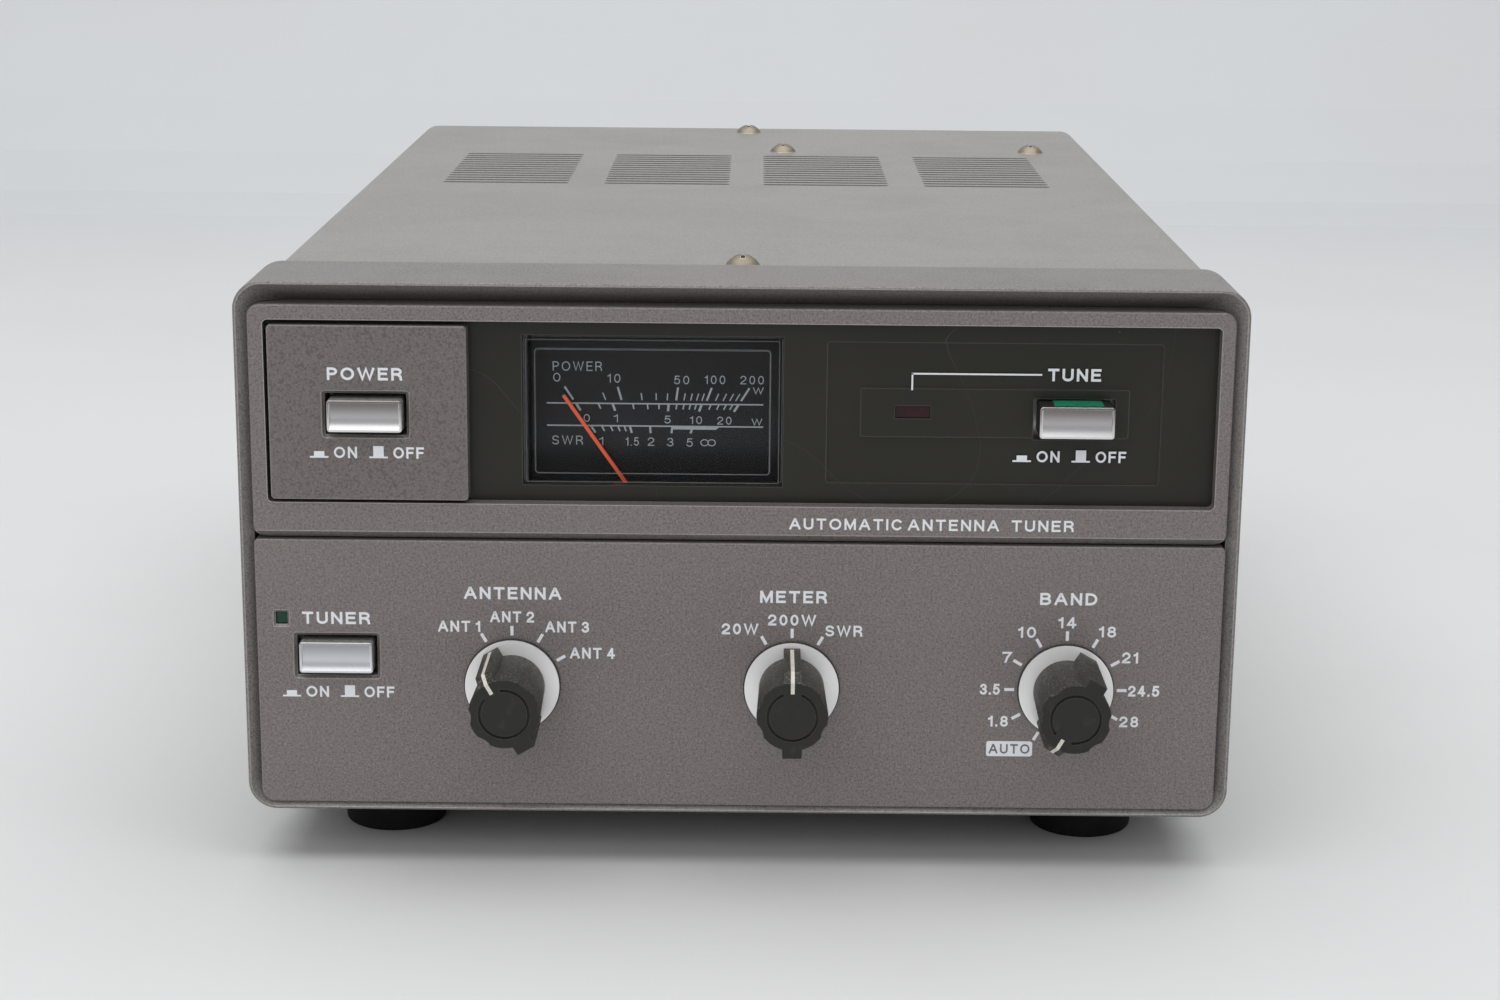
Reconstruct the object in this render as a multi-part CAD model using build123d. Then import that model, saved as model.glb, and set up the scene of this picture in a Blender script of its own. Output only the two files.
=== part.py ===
"""Automatic antenna tuner: a bench case with a moulded front, controls, rear sockets and its works.

Everything is drawn in the panel frame (front face of the panels at Y = 0, underside of the bezel at
Z = 0, X = 0 on the centre line, Y running back into the case) and moved to the resting frame on export.
"""
from build123d import *
import math
import os

# ---------------------------------------------------------------- driving dimensions (mm)
panel_width = 174.0
panel_height = 95.0
body_depth = 257.0
foot_height = 10.0

# front surround and the panels set into it
bezel_depth = 22.8
bezel_corner = 5.0
bezel_rim = 0.5
bezel_slope_depth = 5.2
bezel_side_run = 1.15
panel_inset = {"side": 2.3, "bottom": 1.35, "top": 3.85}
panel_gap = 0.1
pocket_corner = 2.4
panel_skirt = 6.0
ledge_rear = 8.0
divider = (49.66, 50.0)
window_recess = 2.8
window_x = (-81.9, 82.2)
window_z = (56.35, 88.4)
power_plate_x = (-81.2, -47.0)
power_plate_z = (57.0, 87.6)
power_plate_rise = 0.6

# sheet metal
sheet = 1.2
cover_thickness = 1.0
cover_inset_side = 2.2
cover_inset_top = 0.8
cover_corner = 4.0

# selector knobs and their switches
knob_axis_z = 23.58
knob_axis_x = {"antenna": -39.8, "meter": 9.34, "band": 57.6}
knob_rest_angle = {"antenna": -30.0, "meter": 0.0, "band": -150.0}
knob_reach = 16.9
knob_skirt_y = (-0.6, -0.1)
knob_skirt_radius = 8.5
knob_disc_front = -1.0
knob_disc_radius = 8.3
knob_neck_radius = 5.0
knob_body_radii = (5.75, 6.15)
knob_ridge_reach = 7.45
knob_ridge_end = -15.0
shaft_radius = 3.0
shaft_front = -10.5
bushing_radius = 4.75
running_gap = 0.05

# push buttons
button_size = (12.9, 5.6)
button_opening = (14.1, 7.3)
button_centre = {"power": (-64.5, 72.1), "tune": (57.7, 72.1), "tuner": (-70.6, 28.6)}
opening_shift = {"power": 0.0, "tune": -0.5, "tuner": 0.0}
button_face = {"power": -2.5, "tune": -2.5, "tuner": -1.5}
button_rear = {"power": 4.0, "tune": 4.0, "tuner": 4.5}
stem_size = (4.0, 3.0)

# meter and lamps
meter_window_x = (-37.8, 7.3)
meter_window_z = (59.2, 85.6)
dial_x = (-36.8, 6.9)
meter_case_x = (-38.2, 8.3)
meter_case_z = (42.6, 87.4)
needle_pivot = (-14.5, 50.2)
needle_length = 29.0
needle_rest_angle = -34.9
needle_y = (8.3, 8.8)
staff_radius = 1.0
tune_lamp_x = (26.7, 32.8)
tune_lamp_z = (71.6, 73.8)
tuner_lamp_x = (-81.25, -79.15)
tuner_lamp_z = (34.2, 36.5)
lamp_gap = 0.1

# rear plate
rear_recess = 3.0
rear_plate_thickness = 1.5
coax_places = [(-68.0, 66.0), (-40.0, 66.0), (-68.0, 32.0), (-40.0, 32.0), (-10.0, 66.0)]
coax_flange = 25.4
coax_flange_thickness = 1.6
coax_screw_offset = 9.1
coax_barrel_radius = 7.94
coax_barrel_length = 18.0
coax_bore_radius = 5.8
coax_insulator_radius = 5.4
coax_contact_radius = 2.8
coax_mouth_depth = 6.0
ground_place = (-10.0, 32.0)
ground_stud_radius = 2.0
control_place = (18.5, 66.0)
control_screw_offset = 11.0
fuse_place = (55.0, 68.0)
fuse_holder_radius = 6.2
fuse_bore_radius = 5.2
inlet_place = (50.0, 32.0)
inlet_screw_offset = 20.0

# feet, slots and case screws
foot_x = 64.0
foot_y = (25.0, 230.0)
foot_top_radius = 10.4
foot_base_radius = 9.2
foot_recess = 5.0
foot_screw_radius = 1.7
vent_centres = (-52.9, -17.5, 17.5, 52.9)
vent_slot = (27.8, 2.2)
vent_pitch = 4.1
vent_count = 14
vent_middle_y = 169.0
side_screw_y = (44.0, 226.0)
side_screw_z = 58.0
bottom_screw_x = 74.0
bottom_screw_y = (60.0, 140.0, 214.0)
rear_screw_x = 77.0
rear_screw_z = (14.8, 49.0)
top_screws = [(0.0, 28.0), (0.0, 248.0), (8.5, 206.0), (68.5, 208.0)]
screw_radius = 1.5
small_screw_radius = 1.4

# works
deck_z = 8.0
transformer_x = (14.0, 63.0)
transformer_y = (192.0, 222.0)
capacitor_x = (-52.0, -8.0)
capacitor_y = 150.0
capacitor_z = 46.0
rotor_radius = 13.5
rotor_shaft_radius = 2.5
rotor_plates = 8
plate_pitch = 2.4
plate_thickness = 0.8
gear_module = 0.8
gear_teeth = 30
pinion_teeth = 15
gear_backlash = 0.12
gear_width = 3.0
motor_shaft_radius = 1.5

# how far a cutting solid stands past the face that it cuts
margin = 1.0

# ---------------------------------------------------------------- worked-out sizes
half_width = panel_width / 2
rear_face = body_depth - rear_recess
rear_inside = rear_face - rear_plate_thickness
rear_reach = rear_face + coax_flange_thickness + coax_barrel_length
front_y = (knob_reach - rear_reach) / 2
inner_half = half_width - panel_inset["side"]
inner_bottom = panel_inset["bottom"]
inner_top = panel_height - panel_inset["top"]
panel_half = inner_half - panel_gap
ledge_half = inner_half - 2.1
cover_half = half_width - cover_inset_side
cover_top = panel_height - cover_inset_top
inside_half = cover_half - cover_thickness
inside_top = cover_top - cover_thickness
deck_top = deck_z + sheet
stack_half = rotor_plates * plate_pitch / 2
frame_half = rotor_radius + 3.5
gear_rear = capacitor_y - stack_half - 10.0
gear_y = (gear_rear - gear_width, gear_rear)
motor_axis_z = capacitor_z - gear_module * (gear_teeth + pinion_teeth) / 2


# ---------------------------------------------------------------- helpers
def block(x, y, z):
    """Rectangular solid between (low, high) pairs."""
    spans = (x, y, z)
    size = [high - low for low, high in spans]
    middle = [(high + low) / 2 for low, high in spans]
    return Pos(*middle) * Box(*size)


def rod(x, z, y, radius):
    """Round bar along Y."""
    return Pos(x, (y[0] + y[1]) / 2, z) * Rot(90, 0, 0) * Cylinder(radius, y[1] - y[0])


def post(x, y, z, radius):
    """Round bar along Z."""
    return Pos(x, y, (z[0] + z[1]) / 2) * Cylinder(radius, z[1] - z[0])


def cross_bar(y, z, x, radius):
    """Round bar along X."""
    return Pos((x[0] + x[1]) / 2, y, z) * Rot(0, 90, 0) * Cylinder(radius, x[1] - x[0])


def front_plane(y, x=0.0, z=0.0):
    """Plane that faces the user, with its own x to the right and y upwards."""
    return Plane(origin=(x, y, z), x_dir=(1, 0, 0), z_dir=(0, -1, 0))


def rounded_outline(x, z, y, radius):
    centre = front_plane(y, (x[0] + x[1]) / 2, (z[0] + z[1]) / 2)
    return centre * RectangleRounded(x[1] - x[0], z[1] - z[0], radius)


def rounded_plate(x, z, y, radius):
    """Plate that faces the user, with rounded corners, between y[0] and y[1]."""
    return extrude(rounded_outline(x, z, y[1], radius), y[1] - y[0])


def soften_front(plate, radius):
    """Round the edges of the plate's foremost face."""
    return fillet(plate.faces().sort_by(Axis.Y)[0].outer_wire().edges(), radius)


def spread(centre, size):
    """Low and high ends of a size about its centre."""
    return (centre - size / 2, centre + size / 2)


def grown(span, amount):
    """Span made longer by the amount at both ends, or shorter by a negative one."""
    return (span[0] - amount, span[1] + amount)


def sides(inner, outer):
    """The same span of X on the left and on the right of the centre line."""
    return [(-outer, -inner), (inner, outer)]


def corners(centre, offset):
    """Four places round a centre, at the offset along both axes."""
    return [(centre[0] + a * offset, centre[1] + b * offset) for a in (-1, 1) for b in (-1, 1)]


def flared_hole(x, z, y, size, radius):
    """Lip of a hole: wide at y, narrowing to the hole's own outline over the given size."""
    wide = rounded_outline(grown(x, size), grown(z, size), y, radius + size / 4)
    narrow = rounded_outline(x, z, y + size, radius)
    return loft([wide, narrow], ruled=True)


def cross_head_screw(head_radius, head_height, shank_radius, shank_length):
    """Screw that stands along +Z with the seat of its head at Z = 0."""
    dome = (head_radius ** 2 + head_height ** 2) / (2 * head_height)
    head = Pos(0, 0, head_height - dome) * Sphere(dome)
    head = head & post(0, 0, (0, head_height), head_radius)
    slot_length = head_radius * 1.05
    slot_width = head_radius * 0.24
    slot_floor = head_height * 0.35
    for turn in (0, 90):
        slot = block(spread(0, slot_length), spread(0, slot_width), (slot_floor, head_height))
        head = head - Rot(0, 0, turn) * slot
    return head + post(0, 0, (-shank_length, 0), shank_radius)


# ---------------------------------------------------------------- front mouldings
def front_bezel():
    """Deep moulded surround with a sloping inner border and a ledge that the panels rest on."""
    front_rounding = 0.45
    ledge_openings_z = ((3.5, 46.0), (53.0, 89.0))
    cavity_bottom = 2.2
    outer = rounded_plate((-half_width, half_width), (0, panel_height), (0, bezel_depth), bezel_corner)
    outer = soften_front(outer, front_rounding)
    run = bezel_rim + bezel_side_run * bezel_slope_depth
    mouth_x = grown((-half_width, half_width), -bezel_rim)
    mouth_z = grown((0, panel_height), -bezel_rim)
    slope_mouth = rounded_outline(mouth_x, mouth_z, 0, bezel_corner - bezel_rim)
    root_x = (run - half_width, half_width - run)
    slope_root = rounded_outline(root_x, (run, inner_top), bezel_slope_depth, pocket_corner)
    bezel = outer - loft([slope_mouth, slope_root], ruled=True)
    pocket_x = (-inner_half, inner_half)
    bezel = bezel - rounded_plate(pocket_x, (inner_bottom, inner_top), (-margin, panel_skirt), pocket_corner)
    for z in ledge_openings_z:
        bezel = bezel - rounded_plate((-ledge_half, ledge_half), z, (panel_skirt, ledge_rear), 1.0)
    cavity_z = (cavity_bottom, inner_top)
    bezel = bezel - rounded_plate(pocket_x, cavity_z, (ledge_rear, bezel_depth), pocket_corner)
    return with_cover_lip(bezel)


def with_cover_lip(bezel):
    """Add the rear lip that the covers slide over, with a tongue for the front cover screw."""
    lip_half = inside_half - 0.2
    lip_z = (1.1, inside_top - 0.1)
    lip_wall = 1.4
    lip_start = bezel_depth - 4.8
    lip_end = bezel_depth + 4.2
    tongue_end = 33.0
    tongue_thickness = 2.7
    lip = rounded_plate((-lip_half, lip_half), lip_z, (bezel_depth, lip_end), 2.8)
    joining_x = grown((-inner_half, inner_half), 0.2)
    joining_z = (lip_z[0] + 0.3, lip_z[1] - 0.2)
    joining = rounded_plate(joining_x, joining_z, (lip_start, bezel_depth), pocket_corner)
    hollow_x = grown((-lip_half, lip_half), -lip_wall)
    hollow_z = (lip_z[0] + 1.6, lip_z[1] - 1.7)
    hollow = rounded_plate(hollow_x, hollow_z, (lip_start - margin, lip_end + margin), 2.0)
    bezel = bezel + (joining + lip - hollow)
    bezel = bezel + block((-8, 8), (lip_start, tongue_end), (lip_z[1] - tongue_thickness, lip_z[1]))
    bezel = bezel - post(*top_screws[0], (lip_z[1] - 5, lip_z[1] + margin), screw_radius)
    for side in (-1, 1):
        bezel = bezel - post(side * foot_x, foot_y[0], (-margin, 5), foot_screw_radius)
    return bezel


def display_frame():
    """Upper frame: stands forward of the bezel's root, with a long window and a sloped lower edge."""
    slope = 1.2
    recess_z = (53.0, 90.0)
    x = (-panel_half, panel_half)
    outer = rounded_plate(x, (divider[1], inner_top - panel_gap), (0, panel_skirt), 2.2)
    outer = soften_front(outer, 0.35)
    wedge = Box(panel_width, slope * 2, slope * math.sqrt(2))
    outer = outer - front_plane(0, 0, divider[1]) * Rot(45, 0, 0) * wedge
    window = rounded_plate(window_x, window_z, (-margin, window_recess), 0.9)
    recess = block(grown(x, -1.2), (window_recess, panel_skirt), recess_z)
    return outer - window - recess


def control_panel():
    """Lower panel with the three selector shafts, the tuner button and the tuner lamp."""
    x = (-panel_half, panel_half)
    wall = 2.0
    panel_bottom = inner_bottom + panel_gap
    round_cornered = rounded_plate(x, (panel_bottom, panel_height), (0, panel_skirt), 2.3)
    square_cornered = rounded_plate(x, (panel_bottom - 20, divider[0]), (0, panel_skirt), 0.8)
    panel = soften_front(round_cornered & square_cornered, 0.3)
    panel = panel - block(grown(x, -wall), (wall, panel_skirt), (panel_bottom + wall, divider[0] - wall))
    panel = panel - button_hole("tuner", (-margin, wall + margin)) - button_lip("tuner", 0, 0.55)
    panel = panel - block(tuner_lamp_x, (-margin, wall + margin), tuner_lamp_z)
    panel = panel - flared_hole(tuner_lamp_x, tuner_lamp_z, 0, 0.35, 0.2)
    for axis_x in knob_axis_x.values():
        panel = panel - rod(axis_x, knob_axis_z, (-margin, wall + margin), 4.6)
    return panel


def power_switch_plate():
    """Raised plate around the power button."""
    plate = rounded_plate(power_plate_x, power_plate_z, (-power_plate_rise, window_recess), 0.7)
    plate = soften_front(plate, 0.22)
    plate = plate - button_hole("power", (-power_plate_rise - margin, window_recess + margin))
    return plate - button_lip("power", -power_plate_rise, 0.5)


def display_panel():
    """Dark glossy panel behind the window, with shallow moulded borders round the tune controls."""
    back = window_recess + 2.0
    step = 0.4
    through = (window_recess - margin, back + margin)
    panel = block(grown((-panel_half, panel_half), -1.3), (window_recess, back), (53.1, 89.9))
    border = rounded_plate((14.9, 72.7), (60.1, 84.9), (window_recess, window_recess + step), 0.6)
    island = rounded_plate((20.7, 67.15), (68.3, 76.9), (window_recess, window_recess + step), 0.4)
    panel = panel - (border - island)
    panel = panel - block(meter_window_x, through, meter_window_z)
    panel = panel - block(tune_lamp_x, through, tune_lamp_z)
    return panel - button_hole("tune", through) - button_hole("power", through)


def meter_window():
    """Clear cover with a bevelled edge and a raised middle."""
    fit = 0.15
    border = 2.1
    middle_rise = 0.4
    front = window_recess - 0.3
    x = grown(meter_window_x, -fit)
    z = grown(meter_window_z, -fit)
    base = rounded_plate(x, z, (front, front + 1.8), 0.8)
    base = chamfer(base.faces().sort_by(Axis.Y)[0].outer_wire().edges(), 0.5)
    return base + rounded_plate(grown(x, -border), grown(z, -border), (front - middle_rise, front), 0.6)


def meter_case():
    """Case behind the window that holds the dial and the moving-coil movement."""
    wall = 1.2
    front_y_span = (4.8, ledge_rear)
    rear_y_span = (ledge_rear, 26.0)
    front_z = (54.0, meter_case_z[1])
    inner_x = grown(meter_case_x, -wall)
    shell = block(meter_case_x, front_y_span, front_z) + block(meter_case_x, rear_y_span, meter_case_z)
    shell = shell - block(inner_x, (front_y_span[0] - margin, ledge_rear), grown(front_z, -wall))
    shell = shell - block(inner_x, (ledge_rear - margin, rear_y_span[1] - wall), grown(meter_case_z, -wall))
    magnet = rod(*needle_pivot, (13.0, rear_y_span[1] - wall), 6.2)
    return shell + (magnet - rod(*needle_pivot, (12.0, 22.0), staff_radius + running_gap))


def meter_dial():
    """Dial card behind the needle."""
    return block(dial_x, (9.8, 10.6), (53.9, 86.0))


def meter_needle():
    """Needle with its hub, tail weight and pivot staff."""
    pivot_x, pivot_z = needle_pivot
    hub = rod(*needle_pivot, (needle_y[0] - 0.15, needle_y[1] + 0.5), 1.7)
    staff = rod(*needle_pivot, (needle_y[1], 21.5), staff_radius)
    turn = Pos(pivot_x, 0, pivot_z) * Rot(0, needle_rest_angle, 0)
    arm = turn * block((-0.3, 0.3), needle_y, (0, needle_length))
    tail = turn * block((-0.9, 0.9), needle_y, (-4.0, 0))
    return hub + staff + arm + tail


def tune_lamp():
    y = (window_recess + 0.3, ledge_rear)
    return block(grown(tune_lamp_x, -lamp_gap), y, grown(tune_lamp_z, -lamp_gap))


def tuner_lamp():
    y = (0.9, ledge_rear - 0.4)
    return block(grown(tuner_lamp_x, -lamp_gap), y, grown(tuner_lamp_z, -lamp_gap))


# ---------------------------------------------------------------- push buttons
def opening_spans(name):
    """Spans in X and Z of the opening that a button stands in."""
    centre_x, centre_z = button_centre[name]
    return spread(centre_x, button_opening[0]), spread(centre_z + opening_shift[name], button_opening[1])


def button_hole(name, y):
    x, z = opening_spans(name)
    return block(x, y, z)


def button_lip(name, y, size):
    return flared_hole(*opening_spans(name), y, size, 0.4)


def push_button(name):
    """Cap with a dished face and a thin rim, on the stem that works its switch."""
    centre_x, centre_z = button_centre[name]
    face = button_face[name]
    rear = button_rear[name]
    width, height = button_size
    stem_end = 15.0
    rim = 0.45
    cap = rounded_plate(spread(centre_x, width), spread(centre_z, height), (face, rear), 0.55)
    cap = soften_front(cap, 0.22)
    dish_width = width - 2 * rim
    dish_height = height - 2 * rim
    dish_depth = 0.42
    dish_radius = (dish_height ** 2 / 4 + dish_depth ** 2) / (2 * dish_depth)
    dish_axis = face + dish_depth - dish_radius
    dish_x = spread(centre_x, dish_width)
    dish = cross_bar(dish_axis, centre_z, dish_x, dish_radius)
    dish = dish & block(dish_x, (face - 5, face + margin), spread(centre_z, dish_height))
    stem = block(spread(centre_x, stem_size[0]), (rear - 0.5, stem_end), spread(centre_z, stem_size[1]))
    return cap - dish + stem


def push_switch_bodies():
    """Switch housings behind the sub-panel, each with a guide slot for its stem and three tags."""
    housing_y = (ledge_rear + sheet + 0.3, 26.0)
    guide_end = 20.0
    tag_length = 3.5
    tag_spacing = 3.0
    tag_y = (housing_y[1], housing_y[1] + tag_length)
    bodies = []
    for centre_x, centre_z in button_centre.values():
        housing = block(spread(centre_x, 9.0), housing_y, spread(centre_z, 8.0))
        guide_x = spread(centre_x, stem_size[0] + 0.6)
        guide_z = spread(centre_z, stem_size[1] + 0.6)
        housing = housing - block(guide_x, (housing_y[0] - margin, guide_end), guide_z)
        for side in (-1, 0, 1):
            tag_x = spread(centre_x + side * tag_spacing, 0.6)
            housing = housing + block(tag_x, tag_y, spread(centre_z, 2.0))
        bodies.append(housing)
    return bodies


# ---------------------------------------------------------------- selector knobs
def knob_body():
    """Round grip that widens towards its face, with four shallow scallops down its side."""
    root_radius, face_radius = knob_body_radii
    scallop_radius = 3.2
    scallop_depth = 0.4
    face_rounding = 0.25
    length = knob_reach + knob_disc_front
    outline = make_face(Polyline((0, 0), (root_radius, 0), (face_radius, length), (0, length), close=True))
    stand = Plane(origin=(0, knob_disc_front, 0), x_dir=(1, 0, 0), z_dir=(0, 0, -1))
    body = revolve(stand * outline, Axis.Y)
    distance = face_radius + scallop_radius - scallop_depth
    for angle in (25, 155, -25, -155):
        turn = math.radians(angle)
        scallop_y = (-knob_reach - margin, knob_disc_front + margin)
        body = body - rod(distance * math.cos(turn), distance * math.sin(turn), scallop_y, scallop_radius)
    return soften_front(body, face_rounding)


def knob_ridges():
    """Pointer ridge above, sloped back at the face, and a broader, tapering one below."""
    face = -knob_reach
    pointer_width = 2.9
    tail_widths = (4.0, 3.3)
    slope_drop = 1.3
    slope_run = 1.7
    root_half, end_half = tail_widths[0] / 2, tail_widths[1] / 2
    tail = [(-root_half, 0), (-end_half, -knob_ridge_reach), (end_half, -knob_ridge_reach), (root_half, 0)]
    outline = Pos(0, knob_ridge_reach / 2) * Rectangle(pointer_width, knob_ridge_reach)
    outline = outline + make_face(Polyline(*tail, close=True))
    ridges = extrude(front_plane(knob_disc_front) * outline, knob_disc_front - face)
    beyond = face - margin
    low = knob_ridge_reach - (knob_ridge_end - beyond) * slope_drop / slope_run
    high = knob_ridge_reach + margin
    corner = [(knob_ridge_end, knob_ridge_reach), (beyond, low), (beyond, high), (knob_ridge_end, high)]
    wedge = extrude(Plane.YZ * make_face(Polyline(*corner, close=True)), knob_ridge_reach, both=True)
    return ridges - wedge


def selector_knob(name):
    """Knob with a round skirt, a ridged grip and an open ring groove in its end face."""
    face = -knob_reach
    skirt_front, skirt_rear = knob_skirt_y
    groove_radii = (3.95, 4.45)
    groove_depth = 0.6
    groove_break = 3.0
    skirt = rod(0, 0, (skirt_front, skirt_rear), knob_skirt_radius)
    neck = rod(0, 0, (knob_disc_front, skirt_front), knob_neck_radius)
    groove_y = (face - margin, face + groove_depth)
    groove = rod(0, 0, groove_y, groove_radii[1]) - rod(0, 0, groove_y, groove_radii[0])
    groove = groove - block(spread(0, groove_break), grown(groove_y, margin), (0, knob_ridge_reach))
    knob = skirt + neck + knob_body() + knob_ridges() - groove
    knob = knob - rod(0, 0, (shaft_front, skirt_rear + margin), shaft_radius)
    return Pos(knob_axis_x[name], 0, knob_axis_z) * Rot(0, knob_rest_angle[name], 0) * knob


def knob_disc(name):
    """Bright disc inlaid between the skirt and the grip."""
    place = (knob_axis_x[name], knob_axis_z)
    y = (knob_disc_front, knob_skirt_y[0])
    return rod(*place, y, knob_disc_radius) - rod(*place, grown(y, margin), knob_neck_radius)


def switch_shaft(name):
    """Shaft from the knob to the rotor of the wafer switch, with its detent wheel."""
    place = (knob_axis_x[name], knob_axis_z)
    return rod(*place, (shaft_front, 26.0), shaft_radius) + rod(*place, (13.0, 14.6), 8.0)


def rotary_switch_bodies():
    """Bushing, index plate, two wafers and a rear bridge for each selector, tied by two posts."""
    index_y = (ledge_rear + 1.5, ledge_rear + 3.0)
    wafers_y = ((18.0, 20.0), (23.0, 24.5))
    wafer_radius = 14.0
    post_offset = 11.0
    bodies = []
    for x in knob_axis_x.values():
        body = rod(x, knob_axis_z, (5.0, index_y[0]), bushing_radius)
        for y in (index_y, *wafers_y):
            body = body + rod(x, knob_axis_z, y, wafer_radius)
        for side in (-1, 1):
            body = body + rod(x + side * post_offset, knob_axis_z, (index_y[0], wafers_y[1][1]), 1.5)
        body = body - rod(x, knob_axis_z, (4.0, 25.0), shaft_radius + running_gap)
        bodies.append(body)
    return bodies


def rotary_switch_nuts():
    """Hexagonal nuts that hold the selectors' bushings to the sub-panel."""
    nut_radius = 6.35
    nut_thickness = 2.4
    bore_y = grown((ledge_rear - nut_thickness, ledge_rear), margin)
    nuts = []
    for x in knob_axis_x.values():
        hexagon = front_plane(ledge_rear, x, knob_axis_z) * RegularPolygon(nut_radius, 6)
        nuts.append(extrude(hexagon, nut_thickness) - rod(x, knob_axis_z, bore_y, bushing_radius))
    return nuts


def front_subpanel():
    """Steel plate behind the ledge that carries the switches, with flanges to the chassis."""
    plate_y = (ledge_rear, ledge_rear + 1.5)
    through = grown(plate_y, margin)
    stem_clearance = 0.7
    flange_x = (79.1, 80.3)
    plate = block((-82.0, 82.0), plate_y, (4.0, 90.5))
    for x in knob_axis_x.values():
        plate = plate - rod(x, knob_axis_z, through, bushing_radius + running_gap)
    for centre_x, centre_z in button_centre.values():
        slot_x = grown(spread(centre_x, stem_size[0]), stem_clearance)
        slot_z = grown(spread(centre_z, stem_size[1]), stem_clearance)
        plate = plate - block(slot_x, through, slot_z)
    plate = plate - block(grown(meter_case_x, 0.2), through, grown(meter_case_z, 0.2))
    for x in sides(*flange_x):
        plate = plate + block(x, (plate_y[1], 36.0), (10.0, 64.0))
    return plate


# ---------------------------------------------------------------- case
def top_cover():
    """Folded cover over the top and both sides, with four fields of slots."""
    y = (bezel_depth, body_depth)
    below = -30.0
    bottom_edge = 1.1
    outer_x = (-cover_half, cover_half)
    inner_x = (-inside_half, inside_half)
    cover = rounded_plate(outer_x, (below, cover_top), y, cover_corner)
    cover = cover - rounded_plate(inner_x, (below, inside_top), y, cover_corner - cover_thickness)
    cover = cover - block((-half_width, half_width), grown(y, margin), (below - margin, bottom_edge))
    slots = []
    for centre_x in vent_centres:
        for row in range(vent_count):
            row_y = vent_middle_y + (row - (vent_count - 1) / 2) * vent_pitch
            slot = Plane(origin=(centre_x, row_y, inside_top - margin)) * SlotOverall(*vent_slot)
            slots.append(extrude(slot, cover_thickness + 2 * margin))
    cover = cover - slots
    for screw_x, screw_y in top_screws:
        cover = cover - post(screw_x, screw_y, grown((inside_top, cover_top), margin), screw_radius)
    for screw_y in side_screw_y:
        cover = cover - cross_bar(screw_y, side_screw_z, grown(outer_x, margin), screw_radius)
    return cover


def bottom_cover():
    """Flat underside with short upturned sides and two rows of slots."""
    lip_height = 7.0
    slot_rows = 10
    first_slot_y = 120.0
    through = (-margin, cover_thickness + margin)
    plate = block((-cover_half, cover_half), (bezel_depth, body_depth - 0.5), (0, cover_thickness))
    for x in sides(inside_half - 1.2, inside_half - 0.2):
        plate = plate + block(x, (28.0, 251.0), (cover_thickness, cover_thickness + lip_height))
    slots = []
    for centre_x in vent_centres[1:3]:
        for row in range(slot_rows):
            row_y = first_slot_y + row * 2 * vent_pitch
            slot = Plane(origin=(centre_x, row_y, -margin)) * SlotOverall(*vent_slot)
            slots.append(extrude(slot, cover_thickness + 2 * margin))
    plate = plate - slots
    for side in (-1, 1):
        for screw_y in bottom_screw_y:
            plate = plate - post(side * bottom_screw_x, screw_y, through, screw_radius)
        for y in foot_y:
            plate = plate - post(side * foot_x, y, through, foot_screw_radius)
    return plate


def chassis():
    """Folded steel deck and side walls, with a bridge over the transformer for the top cover."""
    wall_outer = 81.7
    wall_inner = wall_outer - sheet
    wall_y = (28.0, rear_inside)
    wall_z = (2.4, 66.0)
    tab_y = (rear_inside - sheet, rear_inside)
    flange_width = 14.5
    across = (-wall_outer, wall_outer)
    frame = block(across, (36.0, rear_inside), (deck_z, deck_top))
    for x in sides(wall_inner, wall_outer):
        frame = frame + block(x, wall_y, wall_z)
    for x in sides(wall_inner - flange_width, wall_inner):
        frame = frame + block(x, wall_y, (wall_z[0], wall_z[0] + sheet))
    for x in sides(72.0, wall_inner):
        for screw_z in rear_screw_z:
            frame = frame + block(x, tab_y, spread(screw_z, 11.0))
    for screw_y in side_screw_y:
        frame = frame - cross_bar(screw_y, side_screw_z, grown(across, margin), screw_radius)
    for side in (-1, 1):
        for screw_y in bottom_screw_y:
            frame = frame - post(side * bottom_screw_x, screw_y, (wall_z[0] - margin, 5.0), screw_radius)
        for screw_z in rear_screw_z:
            frame = frame - rod(side * rear_screw_x, screw_z, grown(tab_y, margin), screw_radius)
    return frame + cover_bridge()


def cover_bridge():
    """Strap over the transformer with two holes for the cover's screws."""
    x = (2.0, 75.0)
    y = (199.0, 215.0)
    z = (inside_top - 0.1 - sheet, inside_top - 0.1)
    bridge = block(x, y, z)
    for leg_x in ((x[0], x[0] + sheet), (x[1] - sheet, x[1])):
        bridge = bridge + block(leg_x, y, (deck_top, z[1]))
    for screw_x, screw_y in top_screws[2:]:
        bridge = bridge - post(screw_x, screw_y, grown(z, margin), screw_radius)
    return bridge


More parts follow.
